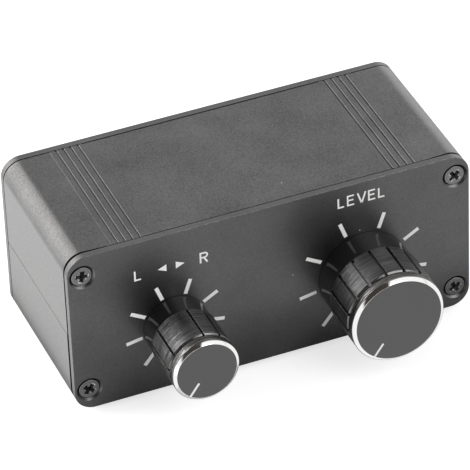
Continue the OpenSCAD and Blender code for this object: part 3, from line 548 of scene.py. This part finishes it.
def inset(outline, amount):
    """Closed counter-clockwise line moved inwards by amount along the mean normal of its two sides."""
    ahead = np.roll(outline, -1, 0) - outline
    ahead /= np.maximum(np.linalg.norm(ahead, axis=1), 1e-9)[:, None]
    normal = np.stack([-ahead[:, 1], ahead[:, 0]], 1)
    mean = normal + np.roll(normal, 1, 0)
    mean /= np.maximum(np.sum(mean * normal, 1), 0.5)[:, None]
    return outline + amount * mean


def inset_rings(outline, shifts, places, axis=1):
    """Rings of an outline, each moved in by its shift, with its place put in as the coordinate axis."""
    return np.array([np.insert(inset(outline, s), axis, p, axis=1) for s, p in zip(shifts, places)])


def quarter(ease, steps=5):
    """(moved in, depth) along a quarter circle that rounds an edge by ease: at the angle a these are
    ease * (1 - sin a) and ease * (1 - cos a)."""
    angle = np.linspace(0, np.pi / 2, steps)
    return ease * (1 - np.sin(angle)), ease * (1 - np.cos(angle))


def extrusion(outline, start, end, ease, steps=4):
    """Outline carried from start to end along Y, with both ends rounded by ease. The grooves lose most of
    their depth over the last BURR_L, where the saw left its burr."""
    moved, depth = quarter(ease, steps)
    places = np.concatenate([start + depth, [end - BURR_L], (end - depth)[::-1]])
    rings = inset_rings(outline, np.concatenate([moved, [0.0], moved[::-1]]), places)
    from_side = HALF_W - np.abs(outline[:, 0])
    in_groove = (np.abs(from_side - GROOVE_INSET) < BAND_HALF) & (outline[:, 1] < GROOVE_DEPTH)
    rings[-steps:, in_groove, 2] = BURR_SHARE * (rings[-steps:, in_groove, 2] + BAND_RISE) - BAND_RISE
    return stack(rings)


print("at the rear end", BURR_SHARE, "of the grooves' depth is left")

# %% Both halves
CORE_FROM, CORE_TO, CORE_STEPS = 0.6, 1.3, 24
GAP_FROM, GAP_TO, REAR_GAP, END_EASE = 33.0, 43.5, 0.30, 0.04
# The rings of extrusion() that lie on a worn end.
END_EDGE = np.array([0, 1, 1, 0, 0, 0, 1, 1, 0])
# Each half: 1, or -1 if it is turned over, and its gap to the front plate in the middle and at the sides.
HALVES = {"lower_shell": (1, 0.85, 0.95), "upper_shell": (-1, 0.11, 0.66)}


def wall_core():
    """(points, faces) of the middle of a half's wall, over the full length: the outer outline moved in by
    CORE_FROM, and back by CORE_TO. It stays inside the wall, except in the gaps, which it closes."""
    angle = np.linspace(np.pi, 2 * np.pi, CORE_STEPS)
    rows = []
    for depth in (CORE_FROM, CORE_TO):
        x = (CORNER_R - depth) * np.cos(angle) + np.sign(np.cos(angle)) * (HALF_W - CORNER_R)
        z = CORNER_R + (CORNER_R - depth) * np.sin(angle)
        rows.append(np.vstack([[depth - HALF_W, SEAM_Z - SEAM_DROP], np.stack([x, z], 1),
                               [HALF_W - depth, SEAM_Z + SEAM_DROP]]))
    outline = np.vstack([rows[0], rows[1][::-1]])
    return stack(inset_rings(outline, (0.0, 0.0), (-SHELL_L / 2, SHELL_L / 2)))


middle = np.array([0.0, 0.0, CASE_H / 2])
for name, (flip, gap, side_gap) in HALVES.items():
    points, faces = extrusion(section, gap - SHELL_L / 2, SHELL_L / 2 - REAR_GAP, END_EASE)
    from_rear = 0.5 - points[:, 1] / SHELL_L
    opened = np.clip((np.abs(points[:, 0]) - GAP_FROM) / (GAP_TO - GAP_FROM), 0, 1)
    points[:, 1] += (side_gap - gap) * opened * from_rear
    core = wall_core()
    all_points, all_faces = join([(points, faces), core])
    # The last two faces of the extrusion are its ends. They and the core get a near-black coat of painted
    # shade, for the shade in the gaps at the plates.
    zone = np.zeros(len(all_faces))
    zone[len(faces) - 2:] = 1
    edge = np.concatenate([np.repeat(END_EDGE, len(section)), np.zeros(len(core[0]))])
    # Turned over about Y, x and the height change sign about the middle of the case.
    placed = (all_points - middle) * (flip, 1, flip) + middle + (0, 0, FOOT_T)
    make_piece(name + "_extrusion", (placed, all_faces), [anodised_shell, painted_shade_end], "case",
               [name], zone, edge)
    print(name, len(all_points), "points")

# %% [markdown]
# ## The end plates
#
# Each plate is a sheet cut to the outline of the case, with its front edge eased and four countersunk
# holes. A Boolean would cut the holes, but it leaves long thin faces that shade badly along the edges.
# Here every hole is its own stack of rings, and one triangulation fills the flat face between the outline
# and the holes.

# %% A plate with turned holes
BACK_EASE, HOLE_EDGE, HOLE_POINTS = 0.3, 0.1, 56


def around(place, rows, upright=False, count=72):
    """Half section (radius, along) carried round an upright axis through place, or round one along Y: at the
    angle a the two coordinates across are radius * cos a and radius * sin a."""
    rows, angle = np.asarray(rows, float), np.arange(count) / count * 2 * np.pi
    u, v = rows[:, :1] * np.cos(angle), rows[:, :1] * np.sin(angle)
    along = np.repeat(rows[:, 1:], count, 1)
    return np.stack([u, v, along] if upright else [u, along, v], -1) + np.asarray(place, float)


def plate(outline, holes, face_y, back_y, ease, steps=5):
    """Sheet from face_y to back_y. holes are (x, z, rows), with rows of (radius, depth below the face). The
    outline is rounded by ease at the face and cut by a share of it at the back. The worn edge is marked."""
    sense, thick = np.sign(back_y - face_y), abs(back_y - face_y)
    moved, depth = quarter(ease, steps)
    moved = np.append(moved, [0.0, BACK_EASE * ease])
    depth = np.append(depth, [thick - BACK_EASE * ease, thick])
    walls = [inset_rings(outline, moved, face_y + sense * depth)]
    walls += [around((x, face_y, z), np.array(rows) * (1, sense), count=HOLE_POINTS) for x, z, rows in holes]
    points, faces = join([(wall.reshape(-1, 3), bands(*wall.shape[:2])) for wall in walls])
    starts = np.cumsum([0] + [len(wall) * wall.shape[1] for wall in walls[:-1]])
    for end in (0, -1):
        number = np.concatenate([start + end % len(wall) * wall.shape[1] + np.arange(wall.shape[1])
                                 for start, wall in zip(starts, walls)])
        flat = tessellate_polygon([wall[end][:, [0, 2]].tolist() for wall in walls])
        faces += number[np.array(flat)].tolist()
    edge = np.zeros(len(points))
    edge[len(outline):(steps - 1) * len(outline)] = 1.0
    return (points, faces), edge


def plain_rows(radius):
    """Rows of a straight hole with a small chamfer at both ends."""
    wide = radius + HOLE_EDGE
    return [(wide, 0.0), (radius, HOLE_EDGE), (radius, PLATE_T - HOLE_EDGE), (wide, PLATE_T)]


print("a hole has", HOLE_POINTS, "points to the ring")

# %% Both plates
FRONT_Y, REAR_Y, PLATE_EASE, PLATE_STEPS = -CASE_D / 2, CASE_D / 2, 0.08, 17
BUSH_HOLE_R, JACK_HOLE_R, SUPPLY_HOLE_R = 3.65, 4.5, 4.3
JACKS = {"input_left": -34.5, "input_right": -20.5, "output_left": -0.5, "output_right": 13.5}
JACK_Z, SUPPLY_X, SUPPLY_Z = 19.95, 30.5, 16.95
SCREW_PLACES = [(side * SCREW_X, FOOT_T + h) for side in (-1, 1) for h in (SCREW_Z, CASE_H - SCREW_Z)]
# Radius and depth below the face, from the countersink's lip to the back.
SINK_ROWS = [(2.80, 0.0), (2.76, 0.03), (2.72, 0.08), (1.35, 1.35), (1.35, PLATE_T - 0.08), (1.43, PLATE_T)]

box_corners = [[-HALF_W, FOOT_T], [HALF_W, FOOT_T], [HALF_W, FOOT_T + CASE_H], [-HALF_W, FOOT_T + CASE_H]]
plate_outline = eased(box_corners, [CORNER_R] * 4, PLATE_STEPS)
screw_holes = [(x, z, SINK_ROWS) for x, z in SCREW_PLACES]
bush_holes = [(x, z, plain_rows(BUSH_HOLE_R)) for x, _, z in DIALS.values()]
rear_holes = [(x, JACK_Z, plain_rows(JACK_HOLE_R)) for x in JACKS.values()]
rear_holes += [(SUPPLY_X, SUPPLY_Z, plain_rows(SUPPLY_HOLE_R))]
for name, holes, face_y in (("front_panel", bush_holes, FRONT_Y), ("rear_panel", rear_holes, REAR_Y)):
    back_y = face_y - np.sign(face_y) * PLATE_T
    shape, edge = plate(plate_outline, screw_holes + holes, face_y, back_y, PLATE_EASE)
    make_piece(name + "_plate", shape, [anodised_plate], "case", [name], edge=edge)
    print(name, len(shape[1]), "faces,", len(screw_holes + holes), "holes")

# %% [markdown]
# ## Screws
#
# Eight black countersunk screws hold the plates. The head is drawn as a surface over circles: the height
# at each point depends on its distance from the two arms of the cross, so the recess has sloping walls as
# a pressed one has.

# %% Countersunk cross-head screws
HEAD_SUNK, HEAD_R, HEAD_DOME, HEAD_POINTS, SCREW_TURNS = 0.2, 2.2, 0.06, 128, (40, 10, 60, 48)
HEAD_RADII = np.concatenate([np.linspace(0.04, 1.5, 34), np.linspace(1.6, 2.05, 5)])
ARM_HALF, ARM_L, RECESS_D, RECESS_LIP, RECESS_WALL, RECESS_CURVE = 0.40, 1.25, 1.15, 0.06, 0.46, 0.7
WORN_GLINT_AT, WORN_GLINT_W = 0.10, 0.14
# Radius and depth below the head's rim, from the rim to the tip.
SCREW_ROWS = [(2.12, 0.01), (2.18, 0.05), (HEAD_R, 0.12), (1.3, 1.0), (1.3, 7.3), (0.9, 7.6)]


def screw_rings(turn):
    """Rings of one screw along its own axis: across, across, depth below the head's rim; and the mark of
    worn edges. The recess is a valley whose depth grows with the distance inside two crossed arms; the head
    is a shallow dome, and the lip around the recess is marked for pale chips: worn plating and painted
    glints."""
    head = around((0, 0, 0), np.stack([HEAD_RADII, 0 * HEAD_RADII], 1), True, HEAD_POINTS)
    x, y = head[..., 0], head[..., 1]
    u, v = abs(x * np.cos(turn) - y * np.sin(turn)), abs(y * np.cos(turn) + x * np.sin(turn))
    beside = np.minimum(np.maximum(u - ARM_HALF, v - ARM_L), np.maximum(v - ARM_HALF, u - ARM_L))
    near = np.clip((RECESS_LIP - beside) / RECESS_WALL, 0, 1)
    dome = HEAD_DOME * (1 - (HEAD_RADII[:, None] / HEAD_R) ** 2)
    head[..., 2] = RECESS_D * near ** RECESS_CURVE - dome * (1 - near)
    body = around((0, 0, 0), SCREW_ROWS, True, HEAD_POINTS)
    lip = np.clip(1 - np.abs(beside - WORN_GLINT_AT) / WORN_GLINT_W, 0, 1)
    return np.concatenate([head, body]), np.concatenate([lip, 0 * body[..., 0]]).ravel()


for name, face_y in (("front_screws", FRONT_Y), ("rear_screws", REAR_Y)):
    parts, edges = [], []
    for (x, z), turn in zip(SCREW_PLACES, np.radians(SCREW_TURNS)):
        rings, edge = screw_rings(turn)
        u, v, depth = np.moveaxis(rings, -1, 0)
        parts.append(stack(np.stack([x + u, face_y - np.sign(face_y) * (HEAD_SUNK + depth), z + v], -1)))
        edges.append(edge)
    make_piece(name + "_cross_head", join(parts), [screw_black], "case", [name],
               edge=np.concatenate(edges))
    print(name, len(parts), "screws")

# %% [markdown]
# ## Printed marks
#
# The marks on the front are screen printed: a thin, slightly raised coat of white ink. A picture on the
# plate would be the usual way, but ink of real thickness stays sharp at any size. Each mark is a closed
# outline, raised by three hundredths of a millimetre. Letters are pen strokes: a path, moved half a pen
# width to each side.

# %% Pen strokes and letters
def pen(path, width):
    """Outline of a pen line: the path moved half a width to both sides along the mitred normals."""
    path = np.asarray(path, float)
    step = np.diff(path, axis=0)
    step /= np.linalg.norm(step, axis=1)[:, None]
    normal = np.stack([-step[:, 1], step[:, 0]], 1)
    before, after = np.vstack([normal[:1], normal]), np.vstack([normal, normal[-1:]])
    mitre = (before + after) / (1 + np.sum(before * after, 1))[:, None]
    return np.vstack([path - width / 2 * mitre, (path + width / 2 * mitre)[::-1]])


def bow(x, z, rx, rz, start, end, steps=9):
    """Arc of an ellipse about (x, z) from the angle start to end, in degrees."""
    angle = np.radians(np.linspace(start, end, steps))
    return np.stack([x + rx * np.cos(angle), z + rz * np.sin(angle)], 1).tolist()


# Each letter: its width and its pen paths, for letters of height 1.
STROKES = {
    "L": (0.60, [[(0, 1), (0, 0), (0.56, 0)]]),
    "E": (0.66, [[(0.62, 1), (0, 1), (0, 0), (0.63, 0)], [(0.07, 0.53), (0.56, 0.53)]]),
    "V": (0.78, [[(0.0, 1.07), (0.37, -0.07)], [(0.41, -0.07), (0.78, 1.07)]]),
    "R": (0.70, [[(0, -0.07), (0, 1), (0.40, 1)] + bow(0.40, 0.755, 0.26, 0.245, 80, -80)
                 + [(0.40, 0.51), (0.07, 0.51)], [(0.36, 0.44), (0.66, -0.07)]]),
    "I": (0.06, [[(0, -0.07), (0, 1.07)]]),
    "N": (0.66, [[(0, -0.07), (0, 1.07)], [(0.04, 1.0), (0.62, 0.0)], [(0.66, -0.07), (0.66, 1.07)]]),
    "O": (0.78, [bow(0.39, 0.5, 0.39, 0.5, 0, 358, 33)]),
    "U": (0.66, [[(0, 1.07), (0, 0.33)] + bow(0.33, 0.33, 0.33, 0.33, 190, 350)
                 + [(0.66, 0.33), (0.66, 1.07)]]),
    "T": (0.68, [[(0, 1), (0.68, 1)], [(0.34, 0.93), (0.34, -0.07)]]),
    "D": (0.70, [[(0.07, 0), (0.30, 0)] + bow(0.30, 0.5, 0.38, 0.5, -80, 80)
                 + [(0.30, 1), (0, 1), (0, -0.07)]]),
    "C": (0.70, [bow(0.38, 0.5, 0.38, 0.5, 42, 318, 25)]),
}


def lettering(word, middle, foot, cap, width, gap=0.32):
    """Pen outlines of a word whose middle is at the place middle across and whose letters stand on foot. cap
    is the height over the ink, so the pen's own path is lower by one pen width."""
    scale = cap - width
    starts = np.cumsum([0.0] + [STROKES[letter][0] + gap for letter in word])
    across = middle - (starts[-1] - gap) * scale / 2
    return [pen(np.asarray(path) * scale + (across + start * scale, foot + width / 2), width)
            for letter, start in zip(word, starts) for path in STROKES[letter][1]]


print(len(STROKES), "letters")

# %% Scales and words on the front
INK_SUNK, INK_RAISED, INK_ROUND = 0.05, 0.03, 0.012


def printed(name, outlines, face_y):
    """Piece of white ink on a plate: each outline is a stack of three rings, the last drawn in by the ink's
    rounding. On the rear plate the outlines are read from behind, so across runs against X."""
    outward = np.sign(face_y)
    heights = np.array([-INK_SUNK, INK_RAISED - INK_ROUND, INK_RAISED])
    parts = []
    for outline in outlines:
        x, z = outline.T
        area = np.sum(np.roll(x, 1) * z - np.roll(z, 1) * x)
        left_turning = outline if area > 0 else outline[::-1]
        rings = inset_rings(left_turning, (0.0, 0.0, INK_ROUND), face_y + outward * heights)
        parts.append(stack(rings * (-outward, 1, 1)))
    return make_piece(name, join(parts), [print_white], "case")


TICK_ANGLES, TICK_W = np.radians(np.arange(-140, 141, 40)), 0.82
TICKS = {"volume": (10.65, 14.45), "balance": (7.3, 10.9)}
CAP, PEN = 2.62, 0.37
WORDS = (("LEVEL", 20.0, 34.5), ("L", -29.0, 30.3), ("R", -14.7, 30.3))
ARROW, ARROW_X, ARROW_Z, ARROW_APART = np.array([[0.0, -0.85], [0.0, 0.85], [1.9, 0.0]]), -21.85, 31.6, 1.0
spokes = np.stack([np.sin(TICK_ANGLES), np.cos(TICK_ANGLES)], 1)
front_marks = []
for dial, reach in TICKS.items():
    front_marks += [pen(DIALS[dial][[0, 2]] + np.outer(reach, spoke), TICK_W) for spoke in spokes]
for word, middle, foot in WORDS:
    front_marks += lettering(word, middle, foot, CAP, PEN)
for side in (-1, 1):
    front_marks.append(ARROW * (side, 1) + (ARROW_X + side * ARROW_APART, ARROW_Z))
printed("front_printing", front_marks, FRONT_Y)
print(len(front_marks), "marks on the front, of", INK_RAISED, "mm of ink")

# %% [markdown]
# ## Knob shells
#
# Each knob has a shell turned from bar: a grip with narrow slots milled along it, a line, a rim and a
# bright chamfer around the face. One could array the cuts with a Boolean. As a surface it is a radius that
# depends on the angle and on the height: a circle with slots along the grip, a plain circle everywhere
# else.

# %% Radius of the grip over the angle
SLOT_DEPTH, SLOT_LIP, LIP_SHARE, LIP_DROP, ROUND_STEPS = 0.8, 0.07, 0.2, 0.05, 16
KNOBS = {"volume": dict(radius=10.2, top=18.0, skirt=6.3, face=9.40, slot=0.60,
                        turns=1.0 + 22.5 * np.arange(16)),
         "balance": dict(radius=7.2, top=17.1, skirt=5.2, face=6.48, slot=0.40,
                         turns=np.add.outer(90.0 * np.arange(4) - 16.0, (-15.0, 15.0)).ravel())}


def grip_outline(knob):
    """(angles, radii) around the grip, clockwise from the pointer, in radians: a circle, lower by the slot's
    depth where the angle is within half a slot of a slot's middle, with lips eased by a few hundredths."""
    turns = np.radians(knob["turns"])
    gap = np.append(turns[1:], turns[0] + 2 * np.pi) - turns
    half = np.arcsin(knob["slot"] / 2 / knob["radius"])
    lip = SLOT_LIP / knob["radius"]
    start = np.repeat([[-half, 0, half, half + LIP_SHARE * lip]], len(turns), 0)
    round_part = half + lip + (gap - 2 * half - 2 * lip)[:, None] * np.linspace(0, 1, ROUND_STEPS)
    local = np.hstack([start, round_part, gap[:, None] - half - LIP_SHARE * lip])
    low = np.zeros(local.shape[1])
    low[:3], low[[3, -1]] = SLOT_DEPTH, LIP_DROP
    return (turns[:, None] + local).ravel(), np.tile(knob["radius"] - low, len(turns))


print({dial: len(knob["turns"]) for dial, knob in KNOBS.items()}, "slots")

# %% Shells from the grip to the face
POINTER_ANGLE, CHAMFER_SLOPE = np.radians(-144.0), np.tan(np.radians(41.0))
FACE_T, SHELL_WALL, FACE_EDGE, CUT_EDGE, FACE_RINGS = 1.6, 1.2, 0.03, 0.05, 9
GRIP_EDGE, GRIP_BEVEL, GRIP_END, GRIP_RINGS = 0.10, 0.28, 0.5, 4
RIM_L, RIM_LINE, LINE_DEPTH, REAR_EDGE, RIM_EDGE, RIM_MIDDLE = 1.6, 0.45, 0.45, 0.12, 0.12, 0.8
# Radius of the small disc that closes a turned shape on its axis.
DISC_R = 0.3


def on_dial(dial, angle, radius, height):
    """Points at an angle clockwise from the top, a radius and a height above the plate: x follows the sine,
    z the cosine, and y the height, outwards."""
    cx, cy, cz = DIALS[dial]
    x, z = cx + radius * np.sin(angle), cz + radius * np.cos(angle)
    return np.stack(np.broadcast_arrays(x, cy - height, z), -1)


def knob_shell(dial):
    """(shape, zone) of a knob's shell. Every row holds a circle's radius, a share of grip and a height; the
    radius at an angle is the mix of the circle and the grip. The rows run from the ceiling inside, over the
    rear end, to the face."""
    knob = KNOBS[dial]
    rim_r, top, skirt_z, face_r = knob["radius"], knob["top"], knob["skirt"], knob["face"]
    chamfer_z = top - (rim_r - RIM_EDGE - face_r) * CHAMFER_SLOPE
    rim_z = chamfer_z - RIM_EDGE - RIM_L
    grip_top = rim_z - RIM_LINE
    line_r, hollow, ceiling_z = rim_r - LINE_DEPTH, rim_r - SHELL_WALL, top - FACE_T
    inside = [(DISC_R, 0, ceiling_z), (hollow, 0, ceiling_z), (hollow, 0, skirt_z)]
    grip = [(-GRIP_EDGE, 1, skirt_z), (0.0, 1, skirt_z + GRIP_EDGE)]
    grip += [(0.0, 1, h) for h in np.linspace(skirt_z + GRIP_END, grip_top - GRIP_END, GRIP_RINGS)]
    grip += [(0.0, 1, grip_top - GRIP_BEVEL)]
    line = [(-GRIP_BEVEL, 1, grip_top), (line_r, 0, grip_top), (line_r, 0, rim_z)]
    rim = [(rim_r - moved, 0, rim_z + depth) for moved, depth in zip(*quarter(REAR_EDGE))]
    rim += [(rim_r, 0, rim_z + RIM_MIDDLE)]
    rim += [(rim_r - depth, 0, chamfer_z - moved) for moved, depth in zip(*quarter(RIM_EDGE))]
    cut = [(face_r + CUT_EDGE, 0, top - FACE_EDGE)]
    face = [(r, 0, top) for r in np.linspace(face_r - FACE_EDGE, DISC_R, FACE_RINGS)]
    rows = np.array(inside + grip + line + rim + cut + face)
    angles, radii = grip_outline(knob)
    radius = rows[:, :1] + rows[:, 1:2] * radii[None, :]
    rings = on_dial(dial, angles[None, :] + POINTER_ANGLE, radius, rows[:, 2:])
    counts = (len(inside) + len(grip) - 1, len(line) + len(rim), len(cut) + 1, len(face) - 1)
    zone = np.repeat(np.repeat([0, 1, 2, 3], counts), len(angles)).tolist() + [0, 3]
    return stack(rings), zone


for dial in KNOBS:
    shape, zone = knob_shell(dial)
    make_piece(dial + "_knob_turned_shell", shape, knob_coats[dial], dial + "_dial",
               [dial + "_knob_shell"], zone)
    print(dial, "shell", len(shape[0]), "points,", len(zone), "faces")

# %% [markdown]
# ## Knob cores and pointers
#
# Inside each shell sits a moulded core, whose smooth glossy skirt shows between the shell and the plate.
# It is a plain turned shape: a half section carried once round the axis. The pointer is a groove in the
# face filled with white paint, so it is a small bar that stands hardly above the face.

# %% Moulded cores
SKIRT_STEP, SKIRT_GAP, SKIRT_EDGE, SKIRT_WALL, WALL_EDGE, CORE_PLAY = 0.25, 0.05, 0.06, 0.8, 0.1, 0.03
SHAFT_R, SHAFT_TOP, BUSH_R, BUSH_TOP, NUT_TOP, CORE_POINTS = 3.03, 14.5, 4.0, 6.0, 3.0, 128
# How far in from the skirt, and how far below the shell, its rounded upper edge runs.
SKIRT_HEAD = [(0.0, 0.23), (0.06, 0.09), (0.2, 0.03)]
for dial, knob in KNOBS.items():
    core_top = knob["top"] - FACE_T - CORE_PLAY
    skirt_r, inner_r = knob["radius"] - SKIRT_STEP, knob["radius"] - SHELL_WALL - CORE_PLAY
    wall_r = skirt_r - SKIRT_WALL
    rows = [(DISC_R, SHAFT_TOP), (SHAFT_R, SHAFT_TOP), (SHAFT_R, BUSH_TOP), (BUSH_R, BUSH_TOP),
            (BUSH_R, NUT_TOP), (wall_r, NUT_TOP), (wall_r, SKIRT_GAP + WALL_EDGE),
            (wall_r + WALL_EDGE, SKIRT_GAP)]
    rows += [(skirt_r - moved, SKIRT_GAP + depth) for moved, depth in zip(*quarter(SKIRT_EDGE))]
    rows += [(skirt_r - inward, knob["skirt"] - below) for inward, below in SKIRT_HEAD]
    rows += [(inner_r, knob["skirt"] - CORE_PLAY), (inner_r, core_top), (DISC_R, core_top)]
    core = around(DIALS[dial], np.array(rows) * (1, -1), count=CORE_POINTS)
    make_piece(dial + "_knob_moulded_core", stack(core), [skirt_gloss], dial + "_dial",
               [dial + "_knob_core"])
    print(dial, "core, skirt", round(skirt_r, 2), "mm in radius")

# %% White pointers
POINTER_L, POINTER_HALF, POINTER_EASE, POINTER_STEPS, POINTER_PLAY = 3.4, 0.25, 0.08, 4, 0.02
PAINT_SHIFTS, PAINT_HEIGHTS = (0.0, 0.0, 0.02), np.array([-0.2, 0.012, 0.025])
for dial, knob in KNOBS.items():
    outer = knob["face"] + POINTER_PLAY
    inner = outer - POINTER_L
    half, radii = POINTER_HALF, [POINTER_EASE] * 4
    bar = eased([[-half, inner], [half, inner], [half, outer], [-half, outer]], radii, POINTER_STEPS)
    rings = inset_rings(bar, PAINT_SHIFTS, knob["top"] + PAINT_HEIGHTS, 2)
    across, along, height = np.moveaxis(rings, -1, 0)
    paint = on_dial(dial, POINTER_ANGLE + np.arctan2(across, along), np.hypot(across, along), height)
    make_piece(dial + "_pointer_paint", stack(paint), [print_white], dial + "_dial")
    print(dial, "pointer to", round(outer, 2), "mm")

# %% [markdown]
# ## Feet and rear jacks
#
# The feet are moulded rubber cones under the case, and the jacks are turned sleeves with a coloured
# insulator inside. All are half sections carried round an axis again, only the axis differs: upright for
# the feet, backwards for the jacks. A sleeve is a tube, so its section is a closed loop and needs no end
# faces.

# %% Feet
FOOT_X, FOOT_Y = 36.2, 10.8
FOOT_ROWS = [(DISC_R, 0), (2.35, 0), (2.58, 0.03), (2.70, 0.12), (2.75, 0.25), (3.15, 1.45), (3.2, FOOT_T),
             (DISC_R, FOOT_T)]
feet = [(end + "_" + side + "_foot", x, y) for side, x in (("left", -FOOT_X), ("right", FOOT_X))
        for end, y in (("front", -FOOT_Y), ("rear", FOOT_Y))]
for node, x, y in feet:
    foot = stack(around((x, y, 0), FOOT_ROWS, True))
    make_piece(node + "_rubber", foot, [foot_rubber], "case", [node])
print(len(feet), "feet")

# %% Rear jacks
JACK_FOOT, SLEEVE_R, SLEEVE_L, SLEEVE_EDGE, EDGE_STEPS = -2.3, 4.15, 9.0, 0.4, 6
nickel = finish("nickel_plate", (0.70, 0.69, 0.66), (0.76, 0.75, 0.72), 1.0, 0.16, 4000.0, 0.0008, 0.03)
insulator = {
    "left": finish("insulator_white", (0.78, 0.78, 0.76), (0.84, 0.84, 0.82), 0.0, 0.32, 3000.0),
    "right": finish("insulator_red", (0.50, 0.015, 0.018), (0.58, 0.022, 0.024), 0.0, 0.32, 3000.0),
}
sleeve_rows = [(5.4, JACK_FOOT), (5.4, -1.5), (3.85, -1.5), (3.85, 0.4), (4.05, 0.4), (SLEEVE_R, 0.5)]
moved, depth = quarter(SLEEVE_EDGE, EDGE_STEPS)
sleeve_rows += zip(SLEEVE_R - depth, SLEEVE_L - moved)
sleeve_rows += [(3.45, SLEEVE_L), (3.35, 8.9), (3.35, JACK_FOOT)]
plug_rows = [(3.3, JACK_FOOT), (3.3, 8.25), (3.15, 8.4), (1.85, 8.4), (1.65, 8.2), (1.65, JACK_FOOT)]
for jack, x in JACKS.items():
    side, place = jack.split("_")[1], (x, REAR_Y, JACK_Z)
    sleeve, plug = (stack(around(place, rows), loop=True) for rows in (sleeve_rows, plug_rows))
    make_piece(jack + "_turned_sleeve", sleeve, [nickel], "case", [jack + "_sleeve"])
    make_piece(jack + "_moulded_insulator", plug, [insulator[side]], "case",
               [jack + "_insulator"])
print(len(JACKS), "jacks")

# %% Words on the rear
# Where letters stand, their height and the pen's width.
WORD, SIDE = (28.6, 2.2, 0.32), (11.2, 1.9, 0.28)
rear_marks = []
for word, x in (("IN", 27.5), ("OUT", -6.5), ("DC", -SUPPLY_X)):
    rear_marks += lettering(word, x, *WORD)
for jack, x in JACKS.items():
    rear_marks += lettering(jack.split("_")[1][0].upper(), -x, *SIDE)
printed("rear_printing", rear_marks, REAR_Y)
print(len(rear_marks), "strokes on the rear")

# %% [markdown]
# ## What lies inside
#
# The board and its components are hidden in the closed case. Their solids have the right shape already, so
# they stay, and each gets a finish of its own with grain and clouds in place of a flat colour.

# %% Finishes of the inner pieces
INNER_GRAINS, INNER_RELIEF = 5000.0, 0.003
# Each slot: dark and light colour, share of metal and roughness.
INNER_FINISHES = {
    "shaft_metal": ((0.72, 0.72, 0.73), (0.78, 0.78, 0.79), 1.0, 0.25),
    "rotor_plastic": ((0.80, 0.77, 0.67), (0.86, 0.83, 0.74), 0.0, 0.45),
    "bushing_metal": ((0.68, 0.62, 0.45), (0.74, 0.68, 0.50), 1.0, 0.28),
    "plated_steel": ((0.68, 0.68, 0.69), (0.74, 0.74, 0.75), 1.0, 0.24),
    "pot_plastic": ((0.06, 0.06, 0.065), (0.08, 0.08, 0.085), 0.0, 0.5),
    "wafer_laminate": ((0.32, 0.18, 0.08), (0.40, 0.23, 0.11), 0.0, 0.6),
    "board_laminate": ((0.016, 0.12, 0.05), (0.024, 0.16, 0.07), 0.0, 0.35),
    "chip_plastic": ((0.026, 0.026, 0.028), (0.036, 0.036, 0.038), 0.0, 0.5),
    "capacitor_sleeve": ((0.025, 0.03, 0.07), (0.035, 0.04, 0.09), 0.0, 0.25),
    "film_plastic": ((0.40, 0.04, 0.035), (0.50, 0.06, 0.05), 0.0, 0.4),
    "resistor_lacquer": ((0.50, 0.36, 0.22), (0.60, 0.44, 0.28), 0.0, 0.35),
    "jack_plastic": ((0.018, 0.018, 0.020), (0.028, 0.028, 0.030), 0.0, 0.42),
    "contact_metal": ((0.76, 0.58, 0.27), (0.84, 0.66, 0.33), 1.0, 0.22),
}
made = {slot: finish(slot, *values, INNER_GRAINS, INNER_RELIEF) for slot, values in INNER_FINISHES.items()}
dressed = 0
for entry in frame["record"]["subparts"]:
    solid = frame["nodes"][entry["node"]]
    if entry["material_slot"] in made and not solid.hide_render:
        solid.data.materials.clear()
        solid.data.materials.append(made[entry["material_slot"]])
        dressed += 1
print(dressed, "inner pieces dressed")

# %% [markdown]
# ## The two boxes
#
# The dressed object has to fill the same box as the imported one, so both boxes are measured in one frame and
# printed side by side.

# %% Sizes of both boxes
visual_box = [list(corner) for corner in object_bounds()]
for label, box in (("CAD box", cad_box), ("visual box", visual_box)):
    print(label, np.round(np.array(box) / MM, 2).tolist(), "mm")
